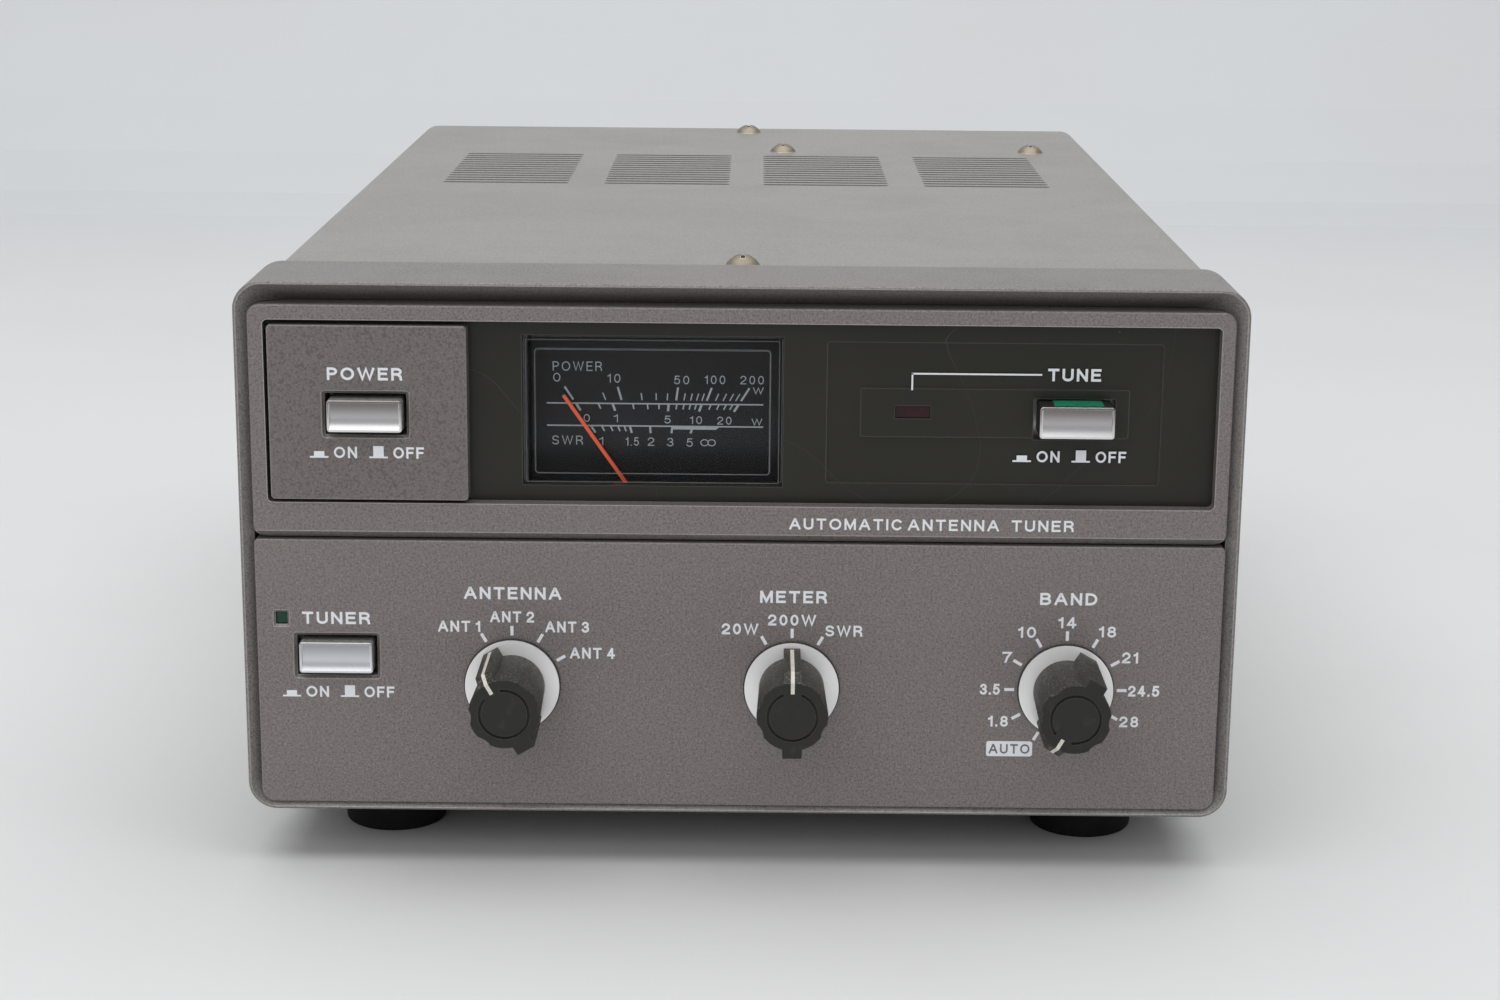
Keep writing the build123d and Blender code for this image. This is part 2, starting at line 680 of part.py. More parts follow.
def rear_panel():
    """Rear plate with a cut-out for each connector and a top flange for the cover screw."""
    top = inside_top - 0.2
    through = (rear_inside - 0.5, rear_face + margin)
    flange_x = (-76.0, 76.0)
    flange_depth = 9.5
    plate = rounded_plate((-83.5, 83.5), (1.2, top), (rear_inside, rear_face), cover_corner)
    for place in coax_places:
        plate = plate - rod(*place, through, 7.0)
    for place in coax_screw_places():
        plate = plate - rod(*place, through, small_screw_radius)
    plate = plate - rod(*ground_place, through, ground_stud_radius + running_gap)
    plate = plate - rod(*control_place, through, 7.2)
    plate = plate - rod(*fuse_place, through, fuse_holder_radius + running_gap)
    plate = plate - block(spread(inlet_place[0], 28.0), through, spread(inlet_place[1], 20.5))
    for side in (-1, 1):
        ear_x = inlet_place[0] + side * inlet_screw_offset
        control_x = control_place[0] + side * control_screw_offset
        plate = plate - rod(ear_x, inlet_place[1], through, screw_radius)
        plate = plate - rod(control_x, control_place[1], through, small_screw_radius)
        for z in rear_screw_z:
            plate = plate - rod(side * rear_screw_x, z, through, screw_radius)
    flange = block(flange_x, (rear_inside - flange_depth, rear_inside), (top - sheet, top))
    flange = flange - post(*top_screws[1], grown((top - sheet, top), margin), screw_radius)
    return plate + flange


def cover_screws():
    """Bright cross-head screws of the covers and of the rear plate."""
    screw = cross_head_screw(3.15, 1.9, screw_radius, 5.0)
    screws = [Pos(x, y, cover_top) * screw for x, y in top_screws]
    for side in (-1, 1):
        for y in side_screw_y:
            screws.append(Pos(side * cover_half, y, side_screw_z) * Rot(0, side * 90, 0) * screw)
        for y in bottom_screw_y:
            screws.append(Pos(side * bottom_screw_x, y, 0) * Rot(180, 0, 0) * screw)
        for z in rear_screw_z:
            screws.append(Pos(side * rear_screw_x, rear_face, z) * Rot(-90, 0, 0) * screw)
    return screws


def foot_places():
    return [(side * foot_x, y) for side in (-1, 1) for y in foot_y]


def feet():
    """Rubber feet, tapered, each with a recess for its screw."""
    recess_radius = 4.6
    edge_rounding = 0.8
    pads = []
    for x, y in foot_places():
        taper = Rot(180, 0, 0) * Cone(foot_top_radius, foot_base_radius, foot_height)
        pad = Pos(x, y, -foot_height / 2) * taper
        pad = fillet(pad.edges().sort_by(Axis.Z)[0], edge_rounding)
        pad = pad - post(x, y, (-foot_height, -foot_recess), recess_radius)
        pad = pad - post(x, y, (-foot_recess - margin, margin), foot_screw_radius)
        pads.append(pad)
    return pads


def foot_screws():
    screw = cross_head_screw(3.4, 2.0, foot_screw_radius, 9.0)
    return [Pos(x, y, -foot_recess) * Rot(180, 0, 0) * screw for x, y in foot_places()]


# ---------------------------------------------------------------- rear connectors
def coax_screw_places():
    """Places of the four screws of every coaxial socket."""
    return [corner for place in coax_places for corner in corners(place, coax_screw_offset)]


def coax_shells():
    """Square-flanged sockets with a round barrel that is notched at the mouth."""
    flange_y = (rear_face, rear_face + coax_flange_thickness)
    spigot_length = 4.0
    notch_depth = 1.4
    notch_width = 2.0
    shells = []
    for place in coax_places:
        x, z = place
        shell = rounded_plate(spread(x, coax_flange), spread(z, coax_flange), flange_y, 1.5)
        shell = shell + rod(*place, (rear_face, rear_reach), coax_barrel_radius)
        shell = shell + rod(*place, (rear_face - spigot_length, rear_face), 6.9)
        shell = shell - rod(*place, (rear_face - spigot_length - margin, rear_reach), coax_insulator_radius)
        shell = shell - rod(*place, (rear_reach - coax_mouth_depth, rear_reach + margin), coax_bore_radius)
        for turn in (45, 135):
            notch = Box(2 * coax_barrel_radius + margin, notch_width, notch_depth)
            shell = shell - Pos(x, rear_reach - notch_depth / 2, z) * Rot(0, turn, 0) * Rot(90, 0, 0) * notch
        for hole in corners(place, coax_screw_offset):
            shell = shell - rod(*hole, grown(flange_y, margin), small_screw_radius)
        shells.append(shell)
    return shells


def coax_insulators():
    rings = []
    y = (rear_face - 5.0, rear_reach - coax_mouth_depth)
    for place in coax_places:
        bore = rod(*place, grown(y, margin), coax_contact_radius)
        rings.append(rod(*place, y, coax_insulator_radius) - bore)
    return rings


def coax_contacts():
    """Centre contacts: bored tubes with a solder cup behind the panel."""
    front = rear_reach - coax_mouth_depth
    tail = rear_face - 11.0
    cup_depth = 5.0
    contacts = []
    for place in coax_places:
        tube = rod(*place, (tail, front), coax_contact_radius)
        tube = tube - rod(*place, (rear_face + margin, front + margin), 2.0)
        contacts.append(tube - rod(*place, (tail - margin, tail + cup_depth), 1.8))
    return contacts


def socket_screws():
    """Screws of the coaxial sockets, of the control socket and of the inlet's two ears."""
    screw = cross_head_screw(2.6, 1.6, small_screw_radius, 5.0)
    ear_screw = cross_head_screw(2.8, 1.7, screw_radius, 6.0)
    facing_back = Rot(-90, 0, 0)
    seat = rear_face + coax_flange_thickness
    screws = [Pos(x, seat, z) * facing_back * screw for x, z in coax_screw_places()]
    for side in (-1, 1):
        control_x = control_place[0] + side * control_screw_offset
        screws.append(Pos(control_x, rear_face + 1.0, control_place[1]) * facing_back * screw)
        ear_x = inlet_place[0] + side * inlet_screw_offset
        screws.append(Pos(ear_x, rear_face + 2.5, inlet_place[1]) * facing_back * ear_screw)
    return screws


def ground_post():
    """Threaded stud with a hexagonal base nut."""
    base_thickness = 3.0
    inner_nut_thickness = 2.5
    stud = rod(*ground_place, (rear_face - 6.0, rear_face + 17.0), ground_stud_radius)
    base = front_plane(rear_face + base_thickness, *ground_place) * RegularPolygon(4.6, 6)
    inner_nut = front_plane(rear_inside, *ground_place) * RegularPolygon(4.0, 6)
    return stud + extrude(base, base_thickness) + extrude(inner_nut, inner_nut_thickness)


def ground_washer():
    y = (rear_face + 3.15, rear_face + 3.95)
    bore = rod(*ground_place, grown(y, margin), ground_stud_radius + running_gap)
    return rod(*ground_place, y, 5.0) - bore


def ground_wing_nut():
    """Tapered hub with two flat wings."""
    seat = rear_face + 4.1
    hub_height = 5.5
    hub_radii = (4.4, 3.2)
    wing_thickness = 1.6
    rest_turn = 35.0
    hub = Pos(0, hub_height / 2, 0) * Rot(-90, 0, 0) * Cone(*hub_radii, hub_height)
    wing = Pos(7.2, 4.6, 0) * Cylinder(4.2, wing_thickness)
    wing = wing + Pos(4.2, 2.9, 0) * Box(4.4, 4.4, wing_thickness)
    nut = hub + wing + mirror(wing, Plane.YZ)
    nut = Pos(ground_place[0], seat, ground_place[1]) * Rot(0, rest_turn, 0) * nut
    return nut - rod(*ground_place, (seat - 6, seat + 12), ground_stud_radius + running_gap)


def control_socket():
    """Round multi-pin socket on an oval flange."""
    x, z = control_place
    mouth = rear_face + 4.0
    pin_radius = 0.75
    pin_circle = 3.9
    pin_y = (rear_face - 4.0, mouth + margin)
    shell = rounded_plate(spread(x, 29.0), spread(z, 19.0), (rear_face, rear_face + 1.0), 8.0)
    shell = shell + rod(x, z, (rear_face - 10.0, mouth), 7.1)
    groove_y = (rear_face, mouth + margin)
    shell = shell - (rod(x, z, groove_y, 6.6) - rod(x, z, grown(groove_y, margin), 5.7))
    for index in range(7):
        angle = math.radians(-150 + index * 50)
        pin_x = x + pin_circle * math.sin(angle)
        pin_z = z + pin_circle * math.cos(angle)
        shell = shell - rod(pin_x, pin_z, pin_y, pin_radius)
    shell = shell - rod(x, z, pin_y, pin_radius)
    for side in (-1, 1):
        hole_y = (rear_face - margin, rear_face + 2.0)
        shell = shell - rod(x + side * control_screw_offset, z, hole_y, small_screw_radius)
    return shell


def ac_inlet():
    """Three-blade appliance inlet on a flange with two screw ears."""
    x, z = inlet_place
    flange_y = (rear_face, rear_face + 2.5)
    mouth = rear_face + 4.5
    depth = 16.0
    blade_end = mouth - 3.0
    blade_size = (2.0, 4.0)
    blade_offsets = ((-7.0, -2.6), (7.0, -2.6), (0.0, 1.4))
    flange = rounded_plate(spread(x, 50.0), spread(z, 23.0), flange_y, 4.0)
    body = block(spread(x, 27.6), (rear_face - 18.0, mouth), spread(z, 20.0))
    half_mouth = 12.1
    half_height = 8.1
    cut_corner = 4.5
    shoulder = (half_mouth - cut_corner, half_height - cut_corner)
    right = [(half_mouth, -half_height), (half_mouth, shoulder[1]), (shoulder[0], half_height)]
    left = [(-across, up) for across, up in reversed(right)]
    outline = make_face(Polyline(*right, *left, close=True))
    inlet = flange + body - extrude(front_plane(mouth, x, z) * outline, depth)
    for blade_x, blade_z in blade_offsets:
        blade_y = (mouth - depth - margin, blade_end)
        blade = block(spread(blade_x, blade_size[0]), blade_y, spread(blade_z, blade_size[1]))
        inlet = inlet + Pos(x, 0, z) * blade
    for side in (-1, 1):
        inlet = inlet - rod(x + side * inlet_screw_offset, z, grown(flange_y, margin), screw_radius)
    return inlet


def fuse_holder():
    """Tube through the rear plate with a flange round its mouth."""
    tube = rod(*fuse_place, (rear_face - 32.0, rear_face + 4.0), fuse_holder_radius)
    flange = rod(*fuse_place, (rear_face, rear_face + 2.0), 8.4)
    return tube + flange - rod(*fuse_place, (rear_face - 30.0, rear_face + 5.0), fuse_bore_radius)


def fuse():
    """Cartridge fuse: a glass tube with two end caps."""
    cap_length = 6.0
    cap_radius = 3.2
    ends = (rear_face - 30.0, rear_face - 7.0)
    tube = rod(*fuse_place, grown(ends, -2.0), 2.9)
    for y in ((ends[0], ends[0] + cap_length), (ends[1] - cap_length, ends[1])):
        tube = tube + rod(*fuse_place, y, cap_radius)
    return tube


def fuse_cap():
    """Bayonet cap with a ribbed grip and a coin slot."""
    x, z = fuse_place
    grip_y = (rear_face + 4.3, rear_face + 12.0)
    rib_count = 18
    rib_circle = 6.7
    grip = rod(x, z, grip_y, 6.4)
    valleys = []
    for index in range(rib_count):
        angle = 2 * math.pi * index / rib_count
        valley_x = x + rib_circle * math.sin(angle)
        valley_z = z + rib_circle * math.cos(angle)
        valleys.append(rod(valley_x, valley_z, (grip_y[0] + 1.2, grip_y[1] + margin), 0.55))
    grip = grip - valleys
    grip = grip - block(spread(x, 14.0), (grip_y[1] - 1.2, grip_y[1] + margin), spread(z, 1.4))
    plug = rod(x, z, (rear_face - 6.5, grip_y[0] + 0.2), fuse_bore_radius - running_gap)
    return grip + plug


# ---------------------------------------------------------------- works inside the case
def transformer_core():
    """Stack of laminations with two windows, seated on the deck."""
    core_top = 50.0
    windows_x = ((22.0, 31.0), (46.0, 55.0))
    core = block(transformer_x, transformer_y, (deck_top, core_top))
    for x in windows_x:
        core = core - block(x, grown(transformer_y, margin), (17.0, 42.0))
    return core


def transformer_winding():
    """Coil on the centre limb, bulging out of both faces of the stack."""
    limb_x = (31.0, 46.0)
    bulge = 10.0
    coil = block((22.2, 54.8), grown(transformer_y, bulge), (17.2, 41.8))
    coil = fillet(coil.edges().filter_by(Axis.Z), 6.0)
    return coil - block(limb_x, transformer_y, (17.0, 42.0))


def smoothing_capacitors():
    """Three round cans on the control board: place, radius and height."""
    sizes = ((66.0, 158.0, 8.0, 30.0), (46.0, 160.0, 6.5, 25.0), (66.0, 136.0, 5.0, 18.0))
    board_top = 15.6
    cans = []
    for x, y, radius, height in sizes:
        can = post(x, y, (board_top, board_top + height), radius)
        cans.append(fillet(can.edges().sort_by(Axis.Z)[-1], 0.8))
    return cans


def control_board():
    """Circuit board on pillars above the deck, with its larger packages."""
    x = (18.0, 78.0)
    y = (44.0, 176.0)
    z = (14.0, 15.6)
    package_height = 3.4
    package_pitch = 22.0
    board = block(x, y, z)
    for pillar_x in grown(x, -4.0):
        for pillar_y in grown(y, -4.0):
            board = board + post(pillar_x, pillar_y, (deck_top, z[0]), 2.5)
    for row in range(3):
        for column in range(2):
            package_x = spread(36.0 + column * package_pitch, 18.0)
            package_y = spread(60.0 + row * package_pitch, 7.0)
            board = board + block(package_x, package_y, (z[1], z[1] + package_height))
    return board


def antenna_relays():
    """Row of sealed relays that pick the antenna socket, standing on the deck."""
    relay_pitch = 19.0
    relays = []
    for index in range(4):
        x = spread(-66.0 + index * relay_pitch, 15.0)
        relays.append(block(x, (212.0, 234.0), (deck_top, 32.0)))
    return relays


def tuning_coil():
    """Ribbed former with spaced turns of heavy wire, lying across the case."""
    centre = (-34.0, 82.0, 42.0)
    length = 72.0
    bore_radius = 14.0
    former_radius = 16.0
    turns = 12
    turn_pitch = 5.45
    wire_radius = 1.1
    leg = Box(17.2, 12.0, 3.0)
    coil = Cylinder(former_radius, length)
    for turn in range(turns):
        ring = Torus(former_radius + 0.3, wire_radius)
        coil = coil + Pos(0, 0, (turn - (turns - 1) / 2) * turn_pitch) * ring
    for side in (-1, 1):
        coil = coil + Pos(-24.2, 0, side * 33.0) * leg
    coil = coil - Cylinder(bore_radius, length + margin)
    return Pos(*centre) * Rot(0, 90, 0) * Rot(0, 0, 180) * coil


def capacitor_stack_y(index):
    """Front face of a rotor plate, counted from the front of the stack."""
    return capacitor_y - stack_half + index * plate_pitch


def capacitor_frames():
    """End plates with tie rods, and the fixed plates that the rotors turn between."""
    end_gap = 5.0
    end_thickness = 2.0
    front = capacitor_y - stack_half - end_gap
    back = capacitor_y + stack_half + end_gap
    rod_offset_x = frame_half - 1.6
    rod_offset_z = frame_half - 3.0
    fixed_z = (capacitor_z + 4.5, capacitor_z + frame_half - 1.0)
    parts = []
    for x in capacitor_x:
        end_x = spread(x, 2 * frame_half)
        end_z = (deck_top, capacitor_z + frame_half)
        frame = block(end_x, (front - end_thickness, front), end_z)
        frame = frame + block(end_x, (back, back + end_thickness), end_z)
        for a in (-1, 1):
            for b in (-1, 1):
                frame = frame + rod(x + a * rod_offset_x, capacitor_z + b * rod_offset_z, (front, back), 1.5)
        for index in range(rotor_plates - 1):
            y = capacitor_stack_y(index) + plate_pitch / 2
            frame = frame + block(grown(end_x, -0.5), (y, y + plate_thickness), fixed_z)
        bore_y = grown((front - end_thickness, back + end_thickness), margin)
        parts.append(frame - rod(x, capacitor_z, bore_y, rotor_shaft_radius + running_gap))
    return parts


def capacitor_rotor(x):
    """Shaft with half-round plates, fully out of mesh at rest."""
    shaft_y = (capacitor_y - stack_half - 14.0, capacitor_y + stack_half + 8.5)
    reach = rotor_radius + margin
    lower_half = block((x - reach, x + reach), shaft_y, (capacitor_z - reach, capacitor_z))
    rotor = rod(x, capacitor_z, shaft_y, rotor_shaft_radius)
    for index in range(rotor_plates):
        y = capacitor_stack_y(index)
        rotor = rotor + (rod(x, capacitor_z, (y, y + plate_thickness), rotor_radius) & lower_half)
    return rotor


def gear_outline(teeth, phase):
    """Involute gear outline, thinned by the backlash, with a tooth centred on the phase angle."""
    pitch_radius = gear_module * teeth / 2
    pressure = math.radians(20)
    base_radius = pitch_radius * math.cos(pressure)
    tip_radius = pitch_radius + gear_module * 0.95
    root_radius = pitch_radius - gear_module * 1.25
    half_tooth = math.pi / (2 * teeth) - gear_backlash / (2 * pitch_radius)
    offset = half_tooth + math.tan(pressure) - pressure
    flank_steps = 4

    def flank(radius):
        roll = math.acos(min(1.0, base_radius / radius))
        return offset - (math.tan(roll) - roll)

    start_radius = max(base_radius, root_radius)
    step = (tip_radius - start_radius) / flank_steps
    radii = [start_radius + step * index for index in range(flank_steps + 1)]
    points = []
    for tooth in range(teeth):
        middle = phase + tooth * 2 * math.pi / teeth
        rising = [(root_radius, -flank(start_radius))] + [(radius, -flank(radius)) for radius in radii]
        falling = [(radius, -angle) for radius, angle in reversed(rising)]
        for radius, angle in rising + falling:
            points.append((radius * math.sin(middle + angle), radius * math.cos(middle + angle)))
    return make_face(Polyline(*points, close=True))


def capacitor_gear(x):
    """Spur gear on the rotor shaft."""
    blank = front_plane(gear_y[1], x, capacitor_z) * gear_outline(gear_teeth, 0)
    return extrude(blank, gear_width) - rod(x, capacitor_z, grown(gear_y, margin), rotor_shaft_radius)


def capacitor_pinion(x):
    """Motor pinion below the gear, on the motor's own shaft."""
    shaft_length = 8.0
    blank = front_plane(gear_y[1], x, motor_axis_z) * gear_outline(pinion_teeth, math.pi / pinion_teeth)
    shaft = rod(x, motor_axis_z, (gear_y[0] - shaft_length, gear_y[1]), motor_shaft_radius)
    return extrude(blank, gear_width) + shaft


def capacitor_motors():
    """Small round motors in front of the gears, each on a foot."""
    can_y = (gear_y[0] - 24.0, gear_y[0] - 2.0)
    can_radius = 10.0
    foot_width = 14.0
    bore_y = (gear_y[0] - 9.0, gear_y[0])
    motors = []
    for x in capacitor_x:
        motor = rod(x, motor_axis_z, can_y, can_radius)
        motor = motor + block(spread(x, foot_width), grown(can_y, -2.0), (deck_top, motor_axis_z))
        motors.append(motor - rod(x, motor_axis_z, bore_y, motor_shaft_radius + running_gap))
    return motors


# ---------------------------------------------------------------- export
makers = [
    front_bezel,
    display_frame,
    control_panel,
    power_switch_plate,
    display_panel,
    meter_window,
    meter_case,
    meter_dial,
    meter_needle,
    tune_lamp,
    tuner_lamp,
    push_switch_bodies,
    rotary_switch_bodies,
    rotary_switch_nuts,
    front_subpanel,
    chassis,
    rear_panel,
    top_cover,
    bottom_cover,
    cover_screws,
    feet,
    foot_screws,
    coax_shells,
    coax_insulators,
    coax_contacts,
    socket_screws,
    ground_post,
    ground_washer,
    ground_wing_nut,
    control_socket,
    ac_inlet,
    fuse_holder,
    fuse_cap,
    fuse,
    transformer_core,
    transformer_winding,
    smoothing_capacitors,
    control_board,
    antenna_relays,
    tuning_coil,
    capacitor_frames,
    capacitor_motors,
]
nodes = {maker.__name__: maker() for maker in makers}
for button in button_centre:
    nodes[button + "_button"] = push_button(button)
for knob in knob_axis_x:
    nodes[knob + "_knob"] = selector_knob(knob)
    nodes[knob + "_knob_disc"] = knob_disc(knob)
    nodes[knob + "_switch_shaft"] = switch_shaft(knob)
for side, x in zip(("input", "output"), capacitor_x):
    nodes[side + "_rotor"] = capacitor_rotor(x)
    nodes[side + "_gear"] = capacitor_gear(x)
    nodes[side + "_pinion"] = capacitor_pinion(x)

os.makedirs("parts", exist_ok=True)
resting_frame = Pos(0, front_y, foot_height)
for node, made in nodes.items():
    pieces = made if isinstance(made, list) else [made]
    placed = [resting_frame * solid for piece in pieces for solid in piece.solids()]
    shape = placed[0] if len(placed) == 1 else Compound(children=placed)
    export_step(shape, f"parts/{node}.step")
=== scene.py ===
"""The antenna tuner's looks: finishes, printed legends, pointer lines and threaded sockets.

Sizes in the tables below are millimetres in the panel frame: X to the right of the centre line, Y back from
the front plane of the bezel, Z up from its underside. at() turns them into metres in the row frame.
"""

import math

import bmesh
import bpy
from mathutils import Matrix, Vector


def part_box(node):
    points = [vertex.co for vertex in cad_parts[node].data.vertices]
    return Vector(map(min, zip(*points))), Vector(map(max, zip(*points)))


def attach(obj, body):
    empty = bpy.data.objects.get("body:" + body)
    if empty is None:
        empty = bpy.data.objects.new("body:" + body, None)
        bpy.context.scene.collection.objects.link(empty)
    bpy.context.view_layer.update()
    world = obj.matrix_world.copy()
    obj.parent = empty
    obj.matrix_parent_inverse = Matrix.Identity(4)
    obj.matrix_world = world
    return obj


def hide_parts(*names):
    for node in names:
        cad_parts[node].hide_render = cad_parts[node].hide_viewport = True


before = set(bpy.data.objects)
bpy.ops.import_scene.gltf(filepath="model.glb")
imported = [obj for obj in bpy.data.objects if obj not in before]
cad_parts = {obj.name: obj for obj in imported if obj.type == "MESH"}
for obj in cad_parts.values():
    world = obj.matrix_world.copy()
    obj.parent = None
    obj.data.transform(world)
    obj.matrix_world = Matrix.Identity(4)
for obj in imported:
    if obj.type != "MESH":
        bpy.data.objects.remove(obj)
bpy.context.view_layer.update()

MM = 0.001
INK = 0.05
LAYER = 0.006
CLOSE = 1e-4
MITRE_LIMIT = 0.5
LETTER_GAP = 0.42

bezel_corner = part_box("front_bezel")[0]
datum = Vector((0, bezel_corner.y, bezel_corner.z))


def at(x, y, z):
    """Row-frame point of a place in the panel frame."""
    return datum + Vector((x, y, z)) * MM


def front_of(node):
    """Panel-frame Y of a node's foremost point, in mm."""
    return (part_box(node)[0].y - datum.y) / MM


def rear_of(node):
    """Panel-frame Y of a node's rearmost point, in mm."""
    return (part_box(node)[1].y - datum.y) / MM


# ================================================================ finishes
class Finish:
    """A Principled material whose colour, roughness and relief are built up in layers. Sizes are in mm."""

    def __init__(self, name, colour, roughness, metallic=0.0):
        self.material = bpy.data.materials.new(name)
        self.material.use_nodes = True
        self.nodes = self.material.node_tree.nodes
        self.links = self.material.node_tree.links
        self.shader = self.nodes["Principled BSDF"]
        self.shader.inputs["Metallic"].default_value = metallic
        self.place = self.nodes.new("ShaderNodeTexCoord").outputs["Object"]
        self.base_colour = (*colour, 1)
        self.colour = None
        self.rough = None
        self.base_roughness = roughness
        self.normal = None

    def link(self, source, target):
        self.links.new(source, target)

    def setting(self, socket, value):
        """Set one of the shader's own sockets."""
        self.shader.inputs[socket].default_value = value
        return self

    def span(self, value, low, high, start=0.0, end=1.0):
        """Map low..high to start..end, held at both ends."""
        node = self.nodes.new("ShaderNodeMapRange")
        node.interpolation_type = "SMOOTHSTEP"
        self.link(value, node.inputs["Value"])
        for name, number in (("From Min", low), ("From Max", high), ("To Min", start), ("To Max", end)):
            node.inputs[name].default_value = number
        return node.outputs["Result"]

    def combine(self, first, second, operation="MULTIPLY"):
        node = self.nodes.new("ShaderNodeMath")
        node.operation = operation
        self.link(first, node.inputs[0])
        if isinstance(second, (int, float)):
            node.inputs[1].default_value = second
        else:
            self.link(second, node.inputs[1])
        return node.outputs[0]

    def scaled(self, size, stretch=(1, 1, 1), shift=0.0):
        """Object coordinates in which one unit is SIZE mm."""
        mapping = self.nodes.new("ShaderNodeMapping")
        mapping.inputs["Scale"].default_value = [factor / (size * MM) for factor in stretch]
        mapping.inputs["Location"].default_value = (shift, shift * 0.7, shift * 1.3)
        self.link(self.place, mapping.inputs["Vector"])
        return mapping.outputs["Vector"]

    def noise(self, size, detail=2.0, stretch=(1, 1, 1), shift=0.0):
        """Soft noise about SIZE mm across, near 0.5 on average."""
        node = self.nodes.new("ShaderNodeTexNoise")
        node.inputs["Scale"].default_value = 1.0
        node.inputs["Detail"].default_value = detail
        self.link(self.scaled(size, stretch, shift), node.inputs["Vector"])
        return node.outputs["Fac"]

    def blotches(self, size, low=0.45, high=0.6, detail=3.0, stretch=(1, 1, 1), shift=0.0):
        return self.span(self.noise(size, detail, stretch, shift), low, high)

    def specks(self, spacing, radius, share=0.3, shift=0.0):
        """Round specks in a share of cells SPACING mm apart."""
        node = self.nodes.new("ShaderNodeTexVoronoi")
        node.inputs["Scale"].default_value = 1.0
        self.link(self.scaled(spacing, shift=shift), node.inputs["Vector"])
        dots = self.span(node.outputs["Distance"], radius / spacing, 0.6 * radius / spacing)
        channels = self.nodes.new("ShaderNodeSeparateColor")
        self.link(node.outputs["Color"], channels.inputs["Color"])
        chosen = self.span(channels.outputs["Red"], 1 - share, 1 - share + 0.01)
        return self.combine(dots, chosen)

    def hairlines(self, size, width=0.004, stretch=(1, 1, 1), shift=0.0):
        """Thin wandering lines, as fine scratches."""
        offset = self.combine(self.noise(size, 0.0, stretch, shift), 0.5, "SUBTRACT")
        return self.span(self.combine(offset, 0.0, "ABSOLUTE"), width, 0.0)

    def edges(self, radius, low=0.02, high=0.12):
        """Mask of the edges, from how far a rounded normal leans from the true one."""
        bevel = self.nodes.new("ShaderNodeBevel")
        bevel.samples = 4
        bevel.inputs["Radius"].default_value = radius * MM
        geometry = self.nodes.new("ShaderNodeNewGeometry")
        dot = self.nodes.new("ShaderNodeVectorMath")
        dot.operation = "DOT_PRODUCT"
        self.link(bevel.outputs["Normal"], dot.inputs[0])
        self.link(geometry.outputs["Normal"], dot.inputs[1])
        return self.span(dot.outputs["Value"], 1 - low, 1 - high)

    def facing(self, direction, low, high):
        """Mask of the surfaces that face a direction of the object."""
        geometry = self.nodes.new("ShaderNodeTexCoord")
        dot = self.nodes.new("ShaderNodeVectorMath")
        dot.operation = "DOT_PRODUCT"
        dot.inputs[1].default_value = direction
        self.link(geometry.outputs["Normal"], dot.inputs[0])
        return self.span(dot.outputs["Value"], low, high)

    def along(self, axis, start, end):
        """Mask that rises from 0 to 1 between two places along an axis of the panel frame."""
        split = self.nodes.new("ShaderNodeSeparateXYZ")
        self.link(self.place, split.inputs[0])
        index = "XYZ".index(axis)
        return self.span(split.outputs[axis], datum[index] + start * MM, datum[index] + end * MM)

    def tint(self, mask, colour, amount=1.0):
        """Mix another colour in where the mask is."""
        node = self.nodes.new("ShaderNodeMix")
        node.data_type = "RGBA"
        self.link(self.combine(mask, amount), node.inputs["Factor"])
        if self.colour is None:
            node.inputs["A"].default_value = self.base_colour
        else:
            self.link(self.colour, node.inputs["A"])
        node.inputs["B"].default_value = (*colour, 1)
        self.colour = node.outputs["Result"]
        return self

    def wear(self, mask, roughness, amount=1.0):
        """Change the roughness where the mask is."""
        node = self.nodes.new("ShaderNodeMix")
        self.link(self.combine(mask, amount), node.inputs["Factor"])
        if self.rough is None:
            node.inputs["A"].default_value = self.base_roughness
        else:
            self.link(self.rough, node.inputs["A"])
        node.inputs["B"].default_value = roughness
        self.rough = node.outputs["Result"]
        return self

    def relief(self, height, depth, strength=1.0):
        """Bump of DEPTH mm."""
        node = self.nodes.new("ShaderNodeBump")
        node.inputs["Strength"].default_value = strength
        node.inputs["Distance"].default_value = depth * MM
        self.link(height, node.inputs["Height"])
        if self.normal is not None:
            self.link(self.normal, node.inputs["Normal"])
        self.normal = node.outputs["Normal"]
        return self

    def made(self):
        """Join the layers to the shader and give the material."""
        if self.colour is None:
            self.shader.inputs["Base Color"].default_value = self.base_colour
        else:
            self.link(self.colour, self.shader.inputs["Base Color"])
        if self.rough is None:
            self.shader.inputs["Roughness"].default_value = self.base_roughness
        else:
            self.link(self.rough, self.shader.inputs["Roughness"])
        if self.normal is not None:
            self.link(self.normal, self.shader.inputs["Normal"])
        return self.material


